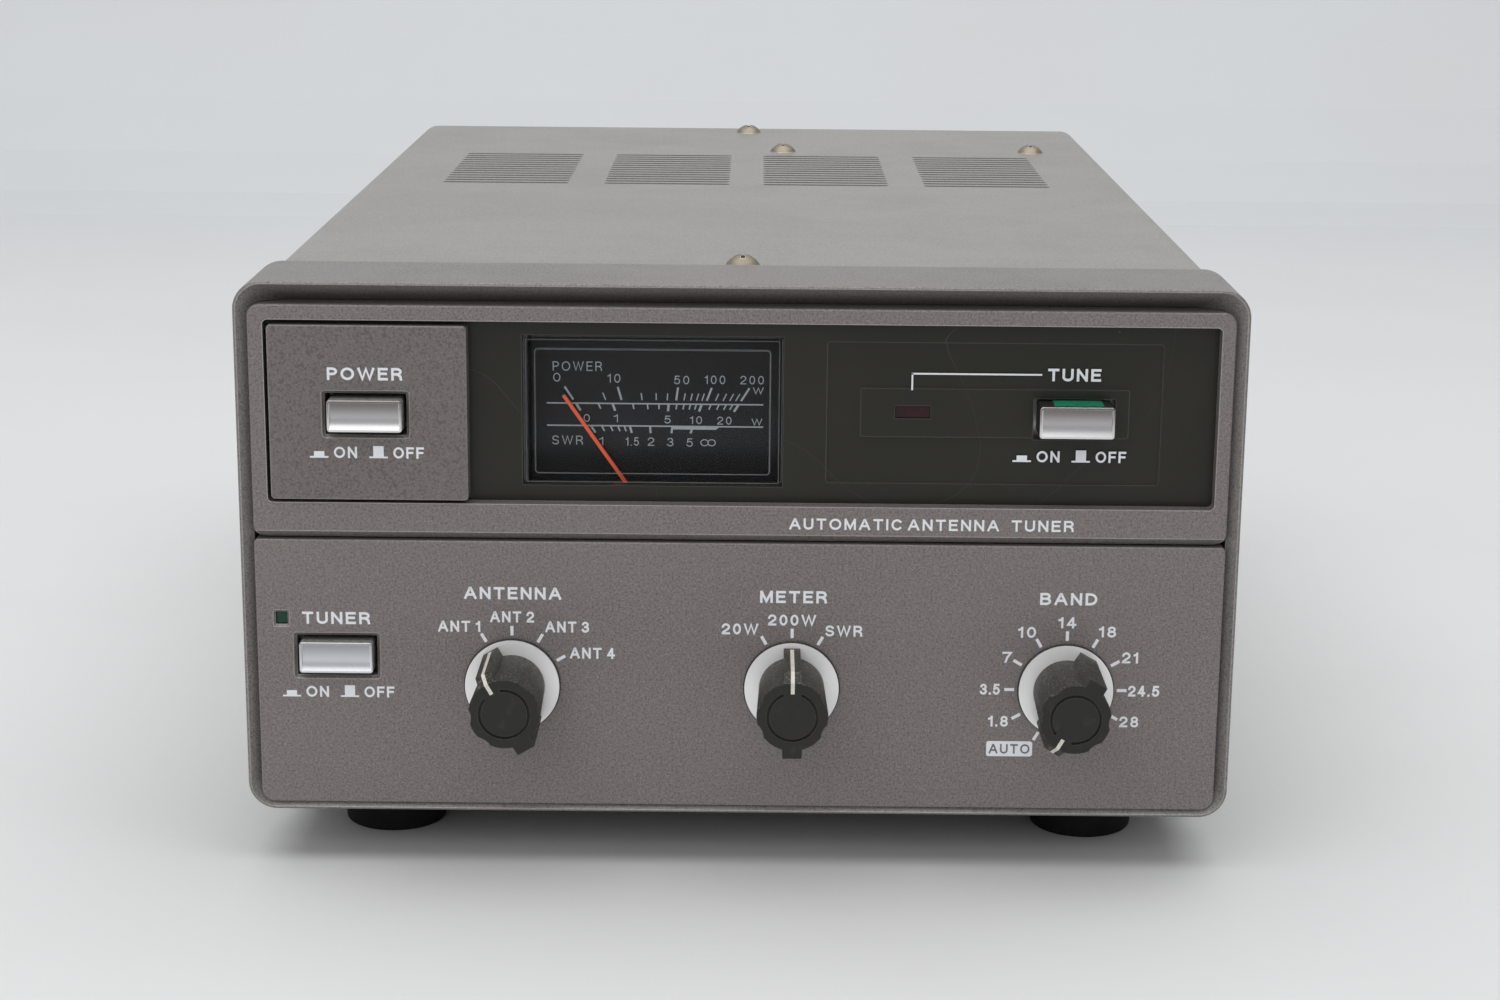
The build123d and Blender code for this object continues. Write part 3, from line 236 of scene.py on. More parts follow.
def grey_paint(name, colour, roughness=0.42, flake=0.30, contrast=0.30, edge=(0.62, 0.60, 0.57)):
    """Metallic grey paint: fine light and dark flake, slow cloudiness, orange peel, and edges made lighter,
    partly as rubbed paint and partly as a painted highlight.
    """
    paint = Finish(name, colour, roughness, metallic=0.25)
    light = [channel * (1 + contrast) for channel in colour]
    dark = [channel * (1 - contrast) for channel in colour]
    paint.tint(paint.blotches(flake, 0.5, 0.66, 1.0), light)
    paint.tint(paint.blotches(flake * 1.3, 0.5, 0.66, 1.0, shift=7.3), dark)
    paint.tint(paint.blotches(38, 0.4, 0.65, 3.0, shift=2.1), light, 0.10)
    # Lighter edges: partly rubbed paint, partly a painted highlight where rounded edges catch the light.
    paint.tint(paint.edges(0.3, 0.02, 0.08), edge, 0.8)
    paint.wear(paint.blotches(26, 0.4, 0.7, 4.0, shift=5.0), roughness + 0.12, 0.7)
    paint.wear(paint.blotches(flake, 0.5, 0.7, 1.0), roughness - 0.08, 0.6)
    paint.relief(paint.noise(0.5, 2.0, shift=1.0), 0.012)
    return paint


def bezel_plastic():
    paint = grey_paint("bezel_paint", (0.212, 0.197, 0.190), roughness=0.40)
    paint.tint(paint.hairlines(60, 0.002, (1, 4, 1)), (0.34, 0.33, 0.32), 0.12)
    return paint.made()


def front_metal():
    return grey_paint("front_panel_paint", (0.207, 0.184, 0.177), roughness=0.44).made()


def switch_plate():
    return grey_paint("switch_plate_paint", (0.170, 0.151, 0.144), roughness=0.44).made()


def cover_paint():
    paint = grey_paint("cover_paint", (0.292, 0.280, 0.264), roughness=0.38, flake=0.30, contrast=0.18)
    paint.tint(paint.blotches(14, 0.62, 0.8, 5.0, shift=11.0), (0.33, 0.32, 0.31), 0.12)
    paint.tint(paint.specks(17, 0.35, 0.12), (0.40, 0.39, 0.37), 0.5)
    paint.wear(paint.blotches(45, 0.45, 0.7, 4.0, shift=3.0), 0.52, 0.6)
    return paint.made()


def rear_paint():
    return grey_paint("rear_panel_paint", (0.190, 0.176, 0.168), roughness=0.46).made()


def steel(name, colour, roughness, streak=(1, 14, 1), depth=0.004):
    """Bare plated sheet: rolling streaks, faint stains and edges painted brighter as a highlight."""
    metal = Finish(name, colour, roughness, metallic=1.0)
    metal.tint(metal.blotches(6, 0.5, 0.75, 4.0), [channel * 0.72 for channel in colour], 0.5)
    # Painted highlight: brighter colour along the edges.
    metal.tint(metal.edges(0.25), (0.85, 0.84, 0.80), 0.5)
    metal.wear(metal.noise(0.6, 2.0, streak), roughness + 0.15, 0.8)
    metal.relief(metal.noise(0.3, 2.0, streak), depth)
    return metal


def plated_steel():
    return steel("zinc_plated_steel", (0.62, 0.61, 0.57), 0.36).made()


def bottom_steel():
    return grey_paint("bottom_paint", (0.13, 0.125, 0.12), roughness=0.5).made()


def nickel_screw():
    metal = steel("nickel_plated_screw", (0.33, 0.29, 0.23), 0.48, (1, 1, 1), 0.002)
    metal.tint(metal.blotches(1.5, 0.55, 0.75, 4.0, shift=4.0), (0.20, 0.16, 0.11), 0.5)
    return metal.made()


def rear_screw():
    return steel("zinc_screw", (0.66, 0.65, 0.60), 0.3, (1, 1, 1), 0.002).made()


def nickel_barrel():
    metal = steel("nickel_plated_brass", (0.74, 0.70, 0.62), 0.24, (1, 1, 1), 0.002)
    metal.tint(metal.blotches(3, 0.55, 0.8, 4.0, shift=9.0), (0.45, 0.38, 0.28), 0.4)
    return metal.made()


def nickel_washer():
    return steel("nickel_washer_metal", (0.70, 0.67, 0.60), 0.3, (1, 1, 1), 0.002).made()


def brass(name, colour, roughness):
    metal = Finish(name, colour, roughness, metallic=1.0)
    metal.tint(metal.blotches(2.5, 0.5, 0.75, 4.0), (0.34, 0.22, 0.09), 0.5)
    # Painted highlight: brighter colour along the edges.
    metal.tint(metal.edges(0.2), (0.95, 0.82, 0.55), 0.5)
    metal.wear(metal.noise(0.8, 3.0), roughness + 0.2, 0.8)
    metal.relief(metal.noise(0.25, 2.0), 0.004)
    return metal.made()


def brass_stud():
    return brass("brass_stud_metal", (0.72, 0.55, 0.28), 0.28)


def wing_nut_brass():
    return brass("cast_brass", (0.70, 0.54, 0.30), 0.36)


def gear_brass():
    return brass("gear_brass_metal", (0.74, 0.58, 0.30), 0.25)


def moulded(name, colour, roughness, grain=0.25, depth=0.02, edge_highlight_gain=1.8):
    """Moulded plastic: fine texture, faint dust and edges painted lighter as a highlight."""
    plastic = Finish(name, colour, roughness)
    plastic.tint(plastic.blotches(grain * 4, 0.5, 0.75, 4.0), [c * 1.35 + 0.004 for c in colour], 0.6)
    # Painted highlight: the edges are painted lighter than the plastic.
    plastic.tint(plastic.edges(0.2), [min(1, c * edge_highlight_gain + 0.01) for c in colour], 0.5)
    plastic.wear(plastic.blotches(7, 0.4, 0.7, 4.0, shift=3.3), roughness + 0.14, 0.7)
    plastic.relief(plastic.noise(grain, 3.0), depth)
    return plastic


def display_plastic():
    """Dark olive display panel, smooth, with hair scratches, lint and edges painted lighter as a highlight.
    """
    plastic = Finish("display_plastic_gloss", (0.0170, 0.0162, 0.0112), 0.32)
    plastic.tint(plastic.blotches(24, 0.4, 0.7, 3.0), (0.0205, 0.0195, 0.0142), 0.8)
    plastic.tint(plastic.specks(5.5, 0.12, 0.25), (0.16, 0.16, 0.15), 0.7)
    plastic.tint(plastic.hairlines(30, 0.0012, shift=2.0), (0.09, 0.09, 0.085), 0.4)
    # Painted highlight: thin light lines along the edges.
    plastic.tint(plastic.edges(0.3, 0.01, 0.06), (0.085, 0.083, 0.070), 0.9)
    plastic.wear(plastic.blotches(9, 0.45, 0.7, 5.0, shift=6.0), 0.42, 0.6)
    plastic.relief(plastic.noise(1.2, 3.0), 0.006)
    plastic.setting("Specular IOR Level", 0.32)
    return plastic.made()


def clear_window():
    """Thin clear window: nearly all of the light goes through, and the rest is gloss; a painted highlight
    makes its rim a lighter, less clear line.
    """
    pane = Finish("clear_window_acrylic", (0.01, 0.01, 0.012), 0.06)
    # Painted highlight: the rim is tinted light and made more opaque.
    rim = pane.edges(0.3, 0.01, 0.06)
    pane.tint(rim, (0.30, 0.31, 0.32), 0.9)
    pane.wear(pane.blotches(6, 0.5, 0.7, 4.0), 0.14, 0.7)
    pane.link(pane.span(rim, 0.0, 1.0, 0.05, 0.7), pane.shader.inputs["Alpha"])
    return pane.made()


def meter_black():
    return moulded("meter_case_plastic", (0.016, 0.016, 0.018), 0.38).made()


def dial_card():
    """Dark dial: a satin card that is a little lighter across its lower half."""
    card = Finish("dial_card_print", (0.016, 0.016, 0.017), 0.6)
    card.tint(card.along("Z", 75, 67), (0.026, 0.027, 0.029), 0.9)
    card.tint(card.along("Z", 66, 62), (0.004, 0.004, 0.005), 0.9)
    card.tint(card.noise(0.25, 2.0), (0.018, 0.019, 0.021), 0.15)
    card.setting("Specular IOR Level", 0.3)
    card.relief(card.noise(0.2, 2.0), 0.004)
    return card.made()


def needle_red():
    paint = Finish("needle_paint", (1.0, 0.14, 0.06), 0.45)
    paint.tint(paint.noise(0.8, 3.0), (1.0, 0.16, 0.07), 0.4)
    paint.relief(paint.noise(0.3, 2.0), 0.004)
    return paint.made()


def lens(name, colour, deep):
    """Small dark lamp lens with a cloudy core."""
    glass = Finish(name, colour, 0.32)
    glass.tint(glass.blotches(0.9, 0.4, 0.7, 3.0), deep, 0.6)
    glass.relief(glass.noise(0.5, 2.0), 0.01)
    glass.setting("Specular IOR Level", 0.3)
    return glass.made()


def red_lens():
    return lens("red_lamp_lens", (0.020, 0.004, 0.005), (0.045, 0.007, 0.009))


def green_lens():
    return lens("green_lamp_lens", (0.008, 0.060, 0.034), (0.014, 0.110, 0.062))


def switch_body():
    return moulded("switch_body_plastic", (0.05, 0.05, 0.055), 0.5).made()


def foot_rubber():
    rubber = moulded("foot_rubber_moulded", (0.0055, 0.0055, 0.0055), 0.7, grain=0.4, depth=0.03)
    return rubber.setting("Specular IOR Level", 0.25).made()


def white_insulator():
    return moulded("white_insulator_plastic", (0.72, 0.70, 0.62), 0.35, edge_highlight_gain=1.1).made()


def silver_contact():
    metal = steel("silver_contact_metal", (0.80, 0.78, 0.72), 0.25, (1, 1, 1), 0.002)
    metal.tint(metal.blotches(2, 0.5, 0.8, 4.0, shift=8.0), (0.30, 0.26, 0.20), 0.5)
    return metal.made()


def socket_black():
    return moulded("control_socket_plastic", (0.02, 0.02, 0.021), 0.42).made()


def inlet_black():
    return moulded("inlet_plastic", (0.018, 0.018, 0.018), 0.4).made()


def holder_black():
    return moulded("fuse_holder_plastic", (0.02, 0.02, 0.02), 0.38).made()


def cap_black():
    return moulded("fuse_cap_plastic", (0.022, 0.022, 0.022), 0.36).made()


def fuse_glass():
    glass = Finish("fuse_glass_tube", (0.75, 0.78, 0.76), 0.08)
    glass.tint(glass.noise(1.5, 3.0), (0.60, 0.64, 0.62), 0.4)
    glass.setting("Alpha", 0.5)
    return glass.made()


def core_steel():
    """Stacked laminations: fine lines across the stack, varnished."""
    core = Finish("lamination_stack", (0.10, 0.085, 0.07), 0.5, metallic=0.5)
    core.tint(core.noise(0.5, 1.0, (0.02, 1, 0.02)), (0.22, 0.20, 0.18), 0.7)
    core.relief(core.noise(0.5, 1.0, (0.02, 1, 0.02)), 0.05)
    return core.made()


def winding_tape():
    tape = Finish("winding_tape_film", (0.55, 0.38, 0.06), 0.35)
    tape.tint(tape.blotches(5, 0.4, 0.7, 3.0), (0.42, 0.27, 0.04), 0.6)
    tape.relief(tape.noise(2.5, 2.0, (0.3, 0.3, 1)), 0.08)
    return tape.made()


def capacitor_sleeve():
    sleeve = Finish("capacitor_sleeve_film", (0.02, 0.045, 0.11), 0.3)
    sleeve.tint(sleeve.noise(3, 3.0), (0.035, 0.07, 0.15), 0.5)
    sleeve.relief(sleeve.noise(2, 2.0), 0.02)
    return sleeve.made()


def board_laminate():
    """Green solder mask over faint copper tracks."""
    board = Finish("board_laminate_mask", (0.02, 0.085, 0.035), 0.35)
    board.tint(board.blotches(2.2, 0.5, 0.53, 0.0, (1, 0.3, 1)), (0.05, 0.17, 0.06), 0.8)
    board.relief(board.blotches(2.2, 0.5, 0.53, 0.0, (1, 0.3, 1)), 0.035)
    return board.made()


def relay_shell():
    return moulded("relay_shell_plastic", (0.60, 0.55, 0.42), 0.3, edge_highlight_gain=1.1).made()


def coil_copper():
    copper = Finish("enamelled_copper", (0.72, 0.34, 0.17), 0.25, metallic=1.0)
    copper.tint(copper.blotches(4, 0.45, 0.75, 3.0), (0.45, 0.18, 0.08), 0.5)
    copper.relief(copper.noise(0.6, 2.0), 0.01)
    return copper.made()


def capacitor_metal():
    return steel("capacitor_plate_metal", (0.74, 0.74, 0.72), 0.3).made()


def motor_shell():
    return steel("motor_can_steel", (0.58, 0.58, 0.56), 0.3, (1, 1, 1)).made()


# Heights and places that tell the button caps apart: the spans over which the two upper faces and the lower
# one darken towards their top as a painted reflection, and the tune cap.
upper_face_reflection_z = (69.4, 74.6)
lower_face_reflection_z = (26.5, 31.4)
below_upper_row_z = (45, 44)
tune_side_x = (20, 21)


def button_chrome():
    """Chromed face with a painted reflection that darkens it towards its upper edge, and a painted highlight
    round its rim, on a grey moulded cap.
    """
    cap = Finish("button_cap_chrome", (0.80, 0.79, 0.80), 0.24)
    front = cap.facing((0, -1, 0), 0.35, 0.6)
    back = cap.combine(cap.combine(front, -1.0), 1.0, "ADD")
    cap.link(front, cap.shader.inputs["Metallic"])
    # Painted reflection: the upper faces darken towards their upper edge.
    cap.tint(cap.along("Z", *upper_face_reflection_z), (0.20, 0.185, 0.185))
    lower = cap.along("Z", *below_upper_row_z)
    cap.tint(lower, (0.74, 0.76, 0.80))
    # Painted reflection: the lower face darkens towards its upper edge.
    cap.tint(cap.combine(lower, cap.along("Z", *lower_face_reflection_z)), (0.40, 0.40, 0.42))
    cap.tint(back, (0.24, 0.235, 0.22), 0.95)
    cap.tint(cap.combine(back, cap.blotches(0.7, 0.5, 0.7, 3.0)), (0.07, 0.07, 0.065), 0.8)
    cap.tint(cap.combine(back, cap.along("X", *tune_side_x)), (0.012, 0.012, 0.012), 0.97)
    # Painted highlight: a near-white line round the rim of each chromed face.
    cap.tint(cap.combine(cap.edges(0.24, 0.01, 0.06), front), (0.98, 0.97, 0.96), 0.9)
    cap.wear(back, 0.6, 0.9)
    cap.wear(cap.noise(0.4, 2.0, (0.15, 1, 1)), 0.30, 0.6)
    cap.relief(cap.combine(back, cap.noise(0.25, 3.0)), 0.02)
    cap.relief(cap.noise(0.25, 2.0, (0.1, 1, 1)), 0.0012)
    return cap.made()


def knob_black():
    """Matte black knob: grained sides that hold dust, a smoother end face, and edges painted lighter as a
    highlight.
    """
    knob = Finish("knob_black_plastic", (0.020, 0.0195, 0.018), 0.50)
    front = knob.facing((0, -1, 0), 0.75, 0.95)
    side = knob.combine(knob.combine(front, -1.0), 1.0, "ADD")
    dust = knob.combine(side, knob.blotches(0.38, 0.46, 0.66, 4.0))
    knob.tint(dust, (0.17, 0.155, 0.13), 0.7)
    knob.tint(knob.combine(side, knob.specks(0.9, 0.12, 0.4)), (0.28, 0.26, 0.23), 0.6)
    knob.tint(front, (0.0140, 0.0135, 0.0105), 0.85)
    smears = knob.blotches(2.2, 0.56, 0.75, 4.0, shift=5.0)
    knob.tint(knob.combine(front, smears), (0.040, 0.039, 0.035), 0.5)
    # Painted highlight: lighter colour along the edges.
    knob.tint(knob.edges(0.22), (0.10, 0.097, 0.088), 0.5)
    knob.wear(front, 0.42, 0.8)
    knob.setting("Specular IOR Level", 0.38)
    knob.relief(knob.combine(side, knob.noise(0.28, 3.0)), 0.05)
    knob.relief(knob.noise(0.2, 2.0), 0.006)
    return knob.made()


def knob_disc_metal():
    """Spun aluminium ring: concentric marks that streak the light outwards."""
    disc = Finish("spun_aluminium", (0.97, 0.97, 0.97), 0.34, metallic=0.25)
    disc.setting("Anisotropic", 0.9)
    tangent = disc.nodes.new("ShaderNodeTangent")
    tangent.direction_type = "RADIAL"
    tangent.axis = "Y"
    disc.link(tangent.outputs["Tangent"], disc.shader.inputs["Tangent"])
    disc.tint(disc.noise(0.5, 3.0), (0.86, 0.86, 0.87), 0.25)
    disc.wear(disc.noise(0.3, 2.0), 0.42, 0.6)
    return disc.made()


def legend_ink():
    ink = Finish("legend_ink_white", (0.84, 0.86, 0.90), 0.5)
    ink.tint(ink.blotches(0.6, 0.5, 0.8, 3.0), (0.62, 0.65, 0.70), 0.4)
    ink.relief(ink.noise(0.2, 2.0), 0.01)
    return ink.made()


def badge_ink():
    ink = Finish("badge_ink_grey", (0.16, 0.175, 0.19), 0.5)
    ink.tint(ink.noise(0.5, 3.0), (0.12, 0.13, 0.14), 0.5)
    return ink.made()


def dial_ink():
    ink = Finish("dial_ink_grey", (0.46, 0.51, 0.54), 0.6)
    ink.tint(ink.blotches(0.7, 0.45, 0.75, 3.0), (0.34, 0.38, 0.40), 0.4)
    return ink.made()


def pointer_paint():
    paint = Finish("pointer_line_paint", (0.74, 0.71, 0.63), 0.5)
    paint.tint(paint.blotches(0.8, 0.45, 0.7, 4.0), (0.55, 0.51, 0.42), 0.5)
    paint.relief(paint.noise(0.3, 2.0), 0.01)
    return paint.made()


def flag_green():
    flag = Finish("flag_green_plastic", (0.015, 0.26, 0.13), 0.4)
    flag.tint(flag.blotches(1.1, 0.45, 0.75, 4.0), (0.008, 0.10, 0.055), 0.8)
    flag.relief(flag.noise(0.5, 3.0), 0.02)
    return flag.made()


def paint_frame():
    """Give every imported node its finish, by the material slot that it was packed with."""
    makers = (
        bezel_plastic, front_metal, switch_plate, display_plastic, clear_window, meter_black, dial_card,
        needle_red, red_lens, green_lens, switch_body, plated_steel, rear_paint, cover_paint, bottom_steel,
        nickel_screw, foot_rubber, nickel_barrel, white_insulator, silver_contact, rear_screw, brass_stud,
        nickel_washer, wing_nut_brass, socket_black, inlet_black, holder_black, cap_black, fuse_glass,
        core_steel, winding_tape, capacitor_sleeve, board_laminate, relay_shell, coil_copper,
        capacitor_metal, motor_shell, button_chrome, knob_black, knob_disc_metal, gear_brass,
    )
    finishes = {maker.__name__: maker() for maker in makers}
    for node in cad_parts.values():
        for index, packed in enumerate(node.data.materials):
            node.data.materials[index] = finishes[packed.name]
    return finishes


finishes = paint_frame()


# ================================================================ mesh helpers
def piece(name, bm, finish, body="housing"):
    """Turn a bmesh in row-frame metres into an object that rides on a CAD body."""
    bmesh.ops.recalc_face_normals(bm, faces=bm.faces)
    mesh = bpy.data.meshes.new(name)
    bm.to_mesh(mesh)
    bm.free()
    mesh.materials.append(finish)
    made = bpy.data.objects.new(name, mesh)
    bpy.context.scene.collection.objects.link(made)
    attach(made, body)
    return made


def prism(bm, outline, front, back):
    """Solid between two Y planes from an outline of (x, z) points, all in the panel frame."""
    near = [bm.verts.new(at(x, front, z)) for x, z in outline]
    far = [bm.verts.new(at(x, back, z)) for x, z in outline]
    bm.faces.new(near)
    bm.faces.new(far[::-1])
    for index in range(len(outline)):
        after = (index + 1) % len(outline)
        bm.faces.new((near[after], near[index], far[index], far[after]))


def stroke(bm, points, width, front, back, cap=0.0):
    """Line of even width through (x, z) points, CAP mm longer at each open end."""
    path = [Vector(points[0])]
    for point in points[1:]:
        if (Vector(point) - path[-1]).length > CLOSE:
            path.append(Vector(point))
    closed = (path[0] - path[-1]).length < CLOSE
    if closed:
        path.pop()
    runs = [(after - here).normalized() for here, after in zip(path, path[1:] + path[:1])]
    if not closed:
        runs[-1] = runs[-2]
        path[0] = path[0] - runs[0] * cap
        path[-1] = path[-1] + runs[-1] * cap
    loops = []
    for index, here in enumerate(path):
        before = runs[index - 1] if closed or index else runs[0]
        mean = (before + runs[index]).normalized()
        side = Vector((-mean.y, mean.x)) * width / 2 / max(MITRE_LIMIT, mean.dot(runs[index]))
        corners = ((here - side, front), (here + side, front), (here + side, back), (here - side, back))
        loops.append([bm.verts.new(at(corner.x, y, corner.y)) for corner, y in corners])
    for first, second in zip(loops, loops[1:]):
        bridge(bm, first, second)
    if closed:
        bridge(bm, loops[-1], loops[0])
    else:
        bm.faces.new(loops[0])
        bm.faces.new(loops[-1][::-1])


def bridge(bm, first, second):
    """Quads between two closed loops of as many vertices."""
    for index in range(len(first)):
        after = (index + 1) % len(first)
        bm.faces.new((first[index], first[after], second[after], second[index]))


def rounded(x, z, radius, steps=5):
    """Outline of a rectangle about (low, high) pairs with rounded corners."""
    points = []
    for corner, (cx, cz) in enumerate(((x[1], z[1]), (x[0], z[1]), (x[0], z[0]), (x[1], z[0]))):
        inward = ((-1, -1), (1, -1), (1, 1), (-1, 1))[corner]
        for step in range(steps + 1):
            angle = math.radians(90 * (corner + step / steps))
            points.append((
                cx + inward[0] * radius + radius * math.cos(angle),
                cz + inward[1] * radius + radius * math.sin(angle),
            ))
    return points


# ================================================================ lettering
def arc(x, z, across, tall, start, end, steps=10):
    """Points on an ellipse between two angles in degrees."""
    turns = [math.radians(start + (end - start) * step / steps) for step in range(steps + 1)]
    return [(x + across * math.cos(turn), z + tall * math.sin(turn)) for turn in turns]


def bowl(x, top, bottom, reach):
    """Half ellipse that bulges to the right."""
    return arc(x, (top + bottom) / 2, reach, (top - bottom) / 2, 90, -90)


# Each letter's width and its strokes, for a height of 1.
glyphs = {
    " ": (-0.12, []),
    ".": (0.0, [[(0, 0), (0, 0.02)]]),
    "A": (0.74, [[(0, 0), (0.34, 1), (0.40, 1), (0.74, 0)], [(0.13, 0.33), (0.61, 0.33)]]),
    "B": (0.60, [
        [(0, 0), (0, 1)],
        [(0, 1), (0.34, 1), *bowl(0.34, 1, 0.53, 0.22), (0, 0.53)],
        [(0, 0.53), (0.36, 0.53), *bowl(0.36, 0.53, 0, 0.24), (0, 0)],
    ]),
    "C": (0.70, [arc(0.37, 0.5, 0.37, 0.5, 42, 318)]),
    "D": (0.66, [[(0, 0), (0, 1), (0.26, 1), *bowl(0.26, 1, 0, 0.40), (0, 0)]]),
    "E": (0.54, [[(0.54, 1), (0, 1), (0, 0), (0.54, 0)], [(0, 0.53), (0.48, 0.53)]]),
    "F": (0.52, [[(0.52, 1), (0, 1), (0, 0)], [(0, 0.51), (0.46, 0.51)]]),
    "G": (0.76, [[*arc(0.38, 0.5, 0.38, 0.5, 42, 340), (0.76, 0.46), (0.44, 0.46)]]),
    "I": (0.0, [[(0, 0), (0, 1)]]),
    "L": (0.50, [[(0, 1), (0, 0), (0.50, 0)]]),
    "M": (0.76, [[(0, 0), (0, 1)], [(0.03, 1), (0.38, 0.06), (0.73, 1)], [(0.76, 1), (0.76, 0)]]),
    "N": (0.62, [[(0, 0), (0, 1)], [(0.02, 1), (0.60, 0)], [(0.62, 0), (0.62, 1)]]),
    "O": (0.80, [arc(0.40, 0.5, 0.40, 0.5, 0, 360, 20)]),
    "P": (0.56, [[(0, 0), (0, 1)], [(0, 1), (0.30, 1), *bowl(0.30, 1, 0.47, 0.26), (0, 0.47)]]),
    "R": (0.60, [
        [(0, 0), (0, 1)],
        [(0, 1), (0.33, 1), *bowl(0.33, 1, 0.49, 0.25), (0, 0.49)],
        [(0.34, 0.49), (0.56, 0.28), (0.60, 0)],
    ]),
    "S": (0.60, [[*arc(0.30, 0.75, 0.28, 0.25, 20, 270), *arc(0.30, 0.25, 0.30, 0.25, 90, -160)]]),
    "T": (0.62, [[(0, 1), (0.62, 1)], [(0.31, 1), (0.31, 0)]]),
    "U": (0.62, [[(0, 1), (0, 0.31), *arc(0.31, 0.31, 0.31, 0.31, 180, 360), (0.62, 1)]]),
    "W": (1.04, [[(0, 1), (0.26, 0), (0.52, 1), (0.78, 0), (1.04, 1)]]),
    "0": (0.50, [arc(0.25, 0.5, 0.25, 0.5, 0, 360, 20)]),
    "1": (0.22, [[(0, 0.78), (0.13, 0.83), (0.20, 0.96)], [(0.22, 1), (0.22, 0)]]),
    "2": (0.52, [[*arc(0.26, 0.71, 0.26, 0.29, 175, -35), (0.03, 0.12), (0, 0), (0.52, 0)]]),
    "3": (0.52, [arc(0.25, 0.755, 0.23, 0.245, 165, -90), arc(0.25, 0.26, 0.27, 0.26, 90, -165)]),
    "4": (0.54, [[(0.38, 0), (0.38, 1)], [(0.34, 1), (0, 0.28), (0.54, 0.28)]]),
    "5": (0.52, [[(0.47, 1), (0.10, 1), (0.05, 0.50)], arc(0.25, 0.33, 0.27, 0.33, 135, -155)]),
    "7": (0.50, [[(0, 1), (0.50, 1), (0.27, 0.50), (0.16, 0)]]),
    "8": (0.50, [
        arc(0.25, 0.755, 0.22, 0.245, 0, 360, 16),
        arc(0.25, 0.27, 0.25, 0.27, 0, 360, 16),
    ]),
}


def letters(bm, words, x, z, width, height, line, face, outward=-1):
    """Stroke lettering centred on (x, z) over the plane Y = face. width None keeps the letters' own."""
    pen = 0.0
    paths = []
    for letter in words:
        span, strokes = glyphs[letter]
        paths += [[(pen + across, up) for across, up in points] for points in strokes]
        pen += span + LETTER_GAP
    extent = pen - LETTER_GAP
    tall = height - line
    wide = tall if width is None else (width - line) / extent
    for index, path in enumerate(paths):
        points = [(x - outward * (across - extent / 2) * wide, z + (up - 0.5) * tall) for across, up in path]
        top = face + outward * (INK + LAYER * (index % 4))
        stroke(bm, points, line, top, face - outward * INK, cap=line / 2)


# ================================================================ printed legends
knob_x = {"antenna": -39.8, "meter": 9.34, "band": 57.6}
knob_z = 23.58
knob_rest = {"antenna": -30.0, "meter": 0.0, "band": -150.0}
tick_span = (9.04, 10.76)
tick_width = 0.55
heading_height = 2.2
heading_line = 0.44
label_height = 2.0
label_line = 0.37
detents = {"antenna": range(-30, 61, 30), "meter": range(-30, 31, 30), "band": range(-150, 121, 30)}


sign_plate = (1.6, 0.3)
sign_block_half = 0.9
sign_gap = 2.55


def on_off(bm, x, z, face):
    """Signs for pushed in and standing out with their words, about the button's own X."""
    plate_half, plate_height = sign_plate
    for offset, words, width, block_height in ((-3.6, "ON", 4.0, 0.85), (7.3, "OFF", 5.3, 1.85)):
        letters(bm, words, x + offset, z, width, label_height, label_line, face)
        sign = x + offset - width / 2 - sign_gap
        base = z - label_height / 2 + 0.02
        shoulder = base + plate_height
        top = shoulder + block_height
        left, right = sign - plate_half, sign + plate_half
        block_left, block_right = sign - sign_block_half, sign + sign_block_half
        prism(bm, [
            (left, base), (right, base), (right, shoulder), (block_right, shoulder),
            (block_right, top), (block_left, top), (block_left, shoulder), (left, shoulder),
        ], face - INK, face + INK)


def control_legends():
    """White print on the lower control panel."""
    face = front_of("control_panel")
    bm = bmesh.new()
    for words, x, width, z in (
        ("TUNER", -70.6, 11.9, 35.5), ("ANTENNA", -39.6, 17.0, 40.3),
        ("METER", 9.5, 11.7, 40.1), ("BAND", 57.6, 10.0, 40.2),
    ):
        letters(bm, words, x, z, width, heading_height, heading_line, face)
    for words, x, width, z in (
        ("ANT 1", -49.05, 7.4, 34.2), ("ANT 2", -39.75, 7.7, 36.0), ("ANT 3", -30.1, 7.7, 34.25),
        ("ANT 4", -25.7, 7.9, 29.5), ("20W", 0.2, 6.4, 34.2), ("200W", 9.3, 8.4, 35.9),
        ("SWR", 18.4, 6.5, 34.0), ("1.8", 45.9, 3.5, 17.7), ("3.5", 44.3, 3.5, 23.6),
        ("7", 47.15, 1.7, 29.5), ("10", 50.5, 3.15, 34.1), ("14", 57.5, 3.15, 35.9),
        ("18", 64.6, 3.0, 34.3), ("21", 68.75, 2.8, 29.6), ("24.5", 71.4, 5.5, 23.5),
        ("28", 69.0, 3.35, 17.8),
    ):
        letters(bm, words, x, z, width, label_height, label_line, face)
    on_off(bm, -70.6, 22.0, face)
    for name, angles in detents.items():
        for angle in angles:
            lean = Vector((math.sin(math.radians(angle)), math.cos(math.radians(angle))))
            hub = Vector((knob_x[name], knob_z))
            ends = [hub + lean * reach for reach in tick_span]
            stroke(bm, ends, tick_width, face - INK, face + INK)
    prism(bm, rounded((43.95, 52.1), (11.2, 14.0), 0.45), face - INK, face + INK)
    piece("control_panel_legends", bm, legend_white)
    bm = bmesh.new()
    letters(bm, "AUTO", 48.02, 12.6, 7.2, 1.75, 0.28, face - INK)
    piece("auto_badge_letters", bm, badge_ink())


